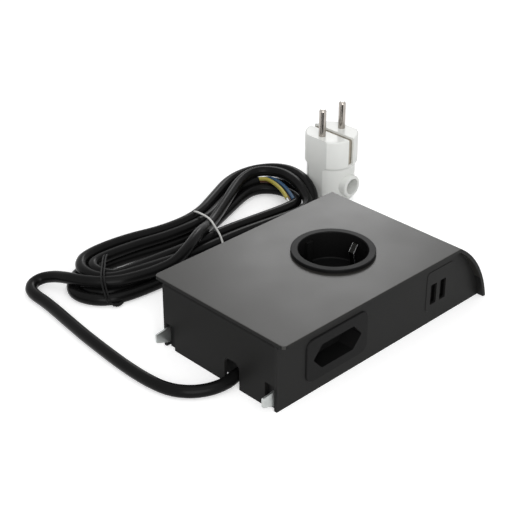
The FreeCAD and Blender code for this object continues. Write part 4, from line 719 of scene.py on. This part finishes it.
class StripCores(bpy.types.Operator):
    """Leads the three cores out of the cut sheath and crimps a sleeve on each end"""
    bl_idname = "power_module.strip_cores"
    bl_label = "Strip the cores"

    def execute(self, context):
        sizes = context.scene.power_module.cores
        cores, ends = [], []
        for name, route in CORE_ROUTES.items():
            node, slot = CORE_STANDS_FOR[name]
            core = grow(name, nurbs(name + "_route", route), geometry_tree("RoundStrand"),
                        Radius=sizes.diameter / 2, Sides=sizes.sides, Material=finish(slot))
            mark_around(core, route_points(route))
            cores.append(seat_piece(core, slot, node))
            tip, before = Vector(route[-1]), Vector(route[-2])
            heading = (tip - before).normalized()
            ends.append((tip + heading * sizes.ferrule_length * SLEEVE_OUT, heading))
        seats = bpy.data.meshes.new("ferrule_seats")
        seats.from_pydata([place for place, _ in ends], [], [])
        facing = seats.attributes.new("heading", "FLOAT_VECTOR", "POINT")
        for item, (_, heading) in zip(facing.data, ends):
            item.vector = heading
        base = bpy.data.objects.new("ferrule_seats", seats)
        context.scene.collection.objects.link(base)
        sleeves = grow("core_sleeves", base, geometry_tree("CrimpedSleeves"),
                       Radius=sizes.ferrule_diameter / 2, Length=sizes.ferrule_length,
                       Material=finish("ferrule_tin"))
        seat_piece(sleeves, "ferrule_tin", "core_ferrules")
        return {"FINISHED"}


def mark_around(core, line):
    """Marks how far round its core each vertex lies, from 0 at the floor side to 1 on top."""
    mark = core.data.attributes.new("around", "FLOAT", "POINT")
    for vertex, item in zip(core.data.vertices, mark.data):
        nearest = min(line, key=lambda p: (p - vertex.co).length_squared)
        off = (vertex.co - nearest).normalized()
        item.value = 0.5 + 0.5 * off.dot(STRIPE_FACING)


class FastenTies(bpy.types.Operator):
    """Binds the hank with its light tie and its dark twist tie"""
    bl_idname = "power_module.fasten_ties"
    bl_label = "Fasten the ties"

    def execute(self, context):
        sizes = context.scene.power_module.ties
        light = grow("light_wire_tie", nurbs("light_tie_route", WIRE_TIE_LOOP, closed=True),
                     geometry_tree("RoundStrand"), Radius=sizes.wire_diameter / 2,
                     Sides=LIGHT_TIE_SIDES, Material=finish("tie_light"))
        seat_piece(light, "tie_light", "wire_tie")
        across = TWIST_ACROSS * sizes.twist_gap / 2
        for side, label in ((1, "near"), (-1, "far")):
            route = [Vector(p) + across * side for p in TWIST_TIE_LOOP]
            name = "twist_tie_" + label
            wire = grow(name, nurbs(name + "_route", route, closed=True),
                        geometry_tree("RoundStrand"), Radius=sizes.twist_diameter / 2,
                        Sides=TWIST_SIDES, Material=finish("tie_black"))
            seat_piece(wire, "tie_black", "twist_tie")
        line = route_points(TWIST_TAIL)
        for phase, label in ((0.0, "first"), (math.pi, "second")):
            turned = []
            for i, place in enumerate(line):
                angle = phase + math.tau * sizes.tail_turns * i / (len(line) - 1)
                turned.append(place + Vector((0, math.cos(angle), math.sin(angle)))
                              * sizes.twist_diameter * TAIL_REACH)
            name = "twist_tail_" + label
            wire = grow(name, nurbs(name + "_route", turned), geometry_tree("RoundStrand"),
                        Radius=sizes.twist_diameter / 2, Sides=TWIST_SIDES,
                        Material=finish("tie_black"))
            seat_piece(wire, "tie_black")
        return {"FINISHED"}


class SetStage(bpy.types.Operator):
    """Sets the floor, the room, the lamps and the camera"""
    bl_idname = "power_module.set_stage"
    bl_label = "Set the stage"

    def execute(self, context):
        stage = context.scene.power_module.stage
        context.scene.view_settings.view_transform = "Standard"
        build_floor(stage)
        build_room(stage)
        for name, power in (("key_lamp", stage.key_power), ("front_lamp", stage.front_power),
                            ("rim_lamp", stage.rim_power)):
            area_lamp(name, *LAMPS[name], power)
        view = bpy.data.cameras.new("view")
        view.lens, view.sensor_width = stage.lens, SENSOR_WIDTH
        view.clip_start, view.clip_end = 0.01, 50.0
        camera = bpy.data.objects.new("view", view)
        camera.location = stage.camera_place
        camera.rotation_euler = Euler(stage.camera_turn)
        context.scene.collection.objects.link(camera)
        context.scene.camera = camera
        return {"FINISHED"}


def seen_rays(tree):
    """1 for the rays by which the floor and the room are seen, directly or in a reflection."""
    path = tree.nodes.new("ShaderNodeLightPath")
    total = path.outputs["Is Camera Ray"]
    for label in ("Is Glossy Ray", "Is Transmission Ray"):
        more = tree.nodes.new("ShaderNodeMath")
        more.operation = "MAXIMUM"
        link(tree, total, more.inputs[0])
        link(tree, path.outputs[label], more.inputs[1])
        total = more.outputs[0]
    return total


def build_floor(stage):
    mesh = bpy.data.meshes.new("floor")
    reach = FLOOR_REACH
    mesh.from_pydata([(-reach, -reach, 0), (reach, -reach, 0), (reach, reach, 0),
                      (-reach, reach, 0)], [], [(0, 1, 2, 3)])
    floor = bpy.data.objects.new("floor", mesh)
    bpy.context.scene.collection.objects.link(floor)
    material = bpy.data.materials.new("pale floor")
    material.use_nodes = True
    tree = material.node_tree
    tree.nodes.remove(tree.nodes["Principled BSDF"])
    matt = tree.nodes.new("ShaderNodeBsdfDiffuse")
    matt.inputs["Color"].default_value = (*stage.floor, 1.0)
    lift = tree.nodes.new("ShaderNodeEmission")
    link(tree, spread(tree, seen_rays(tree), 0, 1, 0.0, FLOOR_LIFT), lift.inputs["Strength"])
    both = tree.nodes.new("ShaderNodeAddShader")
    link(tree, matt.outputs[0], both.inputs[0])
    link(tree, lift.outputs[0], both.inputs[1])
    link(tree, both.outputs[0], tree.nodes["Material Output"].inputs["Surface"])
    mesh.materials.append(material)


def build_room(stage):
    room = bpy.data.worlds.new("room")
    bpy.context.scene.world = room
    room.use_nodes = True
    tree = room.node_tree
    light = tree.nodes["Background"]
    light.inputs["Color"].default_value = (1.0, 1.0, 1.0, 1.0)
    link(tree, spread(tree, seen_rays(tree), 0, 1, stage.sky, 1.0), light.inputs["Strength"])


def area_lamp(name, place, target, size, power):
    lamp = bpy.data.lights.new(name, "AREA")
    lamp.shape, lamp.size, lamp.energy = "SQUARE", size, power
    holder = bpy.data.objects.new(name, lamp)
    holder.location = place
    holder.rotation_euler = (Vector(target) - Vector(place)).to_track_quat("-Z", "Y").to_euler()
    bpy.context.scene.collection.objects.link(holder)


STEPS = (DressParts, LayCord, StripCores, FastenTies, SetStage)


class ModulePanel(bpy.types.Panel):
    """Lists the steps that dress the power module"""
    bl_idname = "VIEW3D_PT_power_module"
    bl_label = "Power Module"
    bl_space_type = "VIEW_3D"
    bl_region_type = "UI"
    bl_category = "Power Module"

    def draw(self, context):
        for step in STEPS:
            self.layout.operator(step.bl_idname)
        settings = context.scene.power_module
        for group in (settings.cord, settings.cores, settings.ties, settings.finish,
                      settings.stage):
            box = self.layout.box()
            for label in group.__annotations__:
                box.prop(group, label)


CLASSES = (CordSettings, CoreSettings, TieSettings, FinishSettings, StageSettings,
           ModuleSettings, *STEPS, ModulePanel)


def register():
    for item in CLASSES:
        bpy.utils.register_class(item)
    bpy.types.Scene.power_module = bpy.props.PointerProperty(type=ModuleSettings)


def unregister():
    del bpy.types.Scene.power_module
    for item in reversed(CLASSES):
        bpy.utils.unregister_class(item)


def main():
    register()
    bpy.ops.power_module.dress_parts()
    bpy.ops.power_module.lay_cord()
    bpy.ops.power_module.strip_cores()
    bpy.ops.power_module.fasten_ties()
    bpy.ops.power_module.set_stage()


if __name__ == "__main__":
    main()
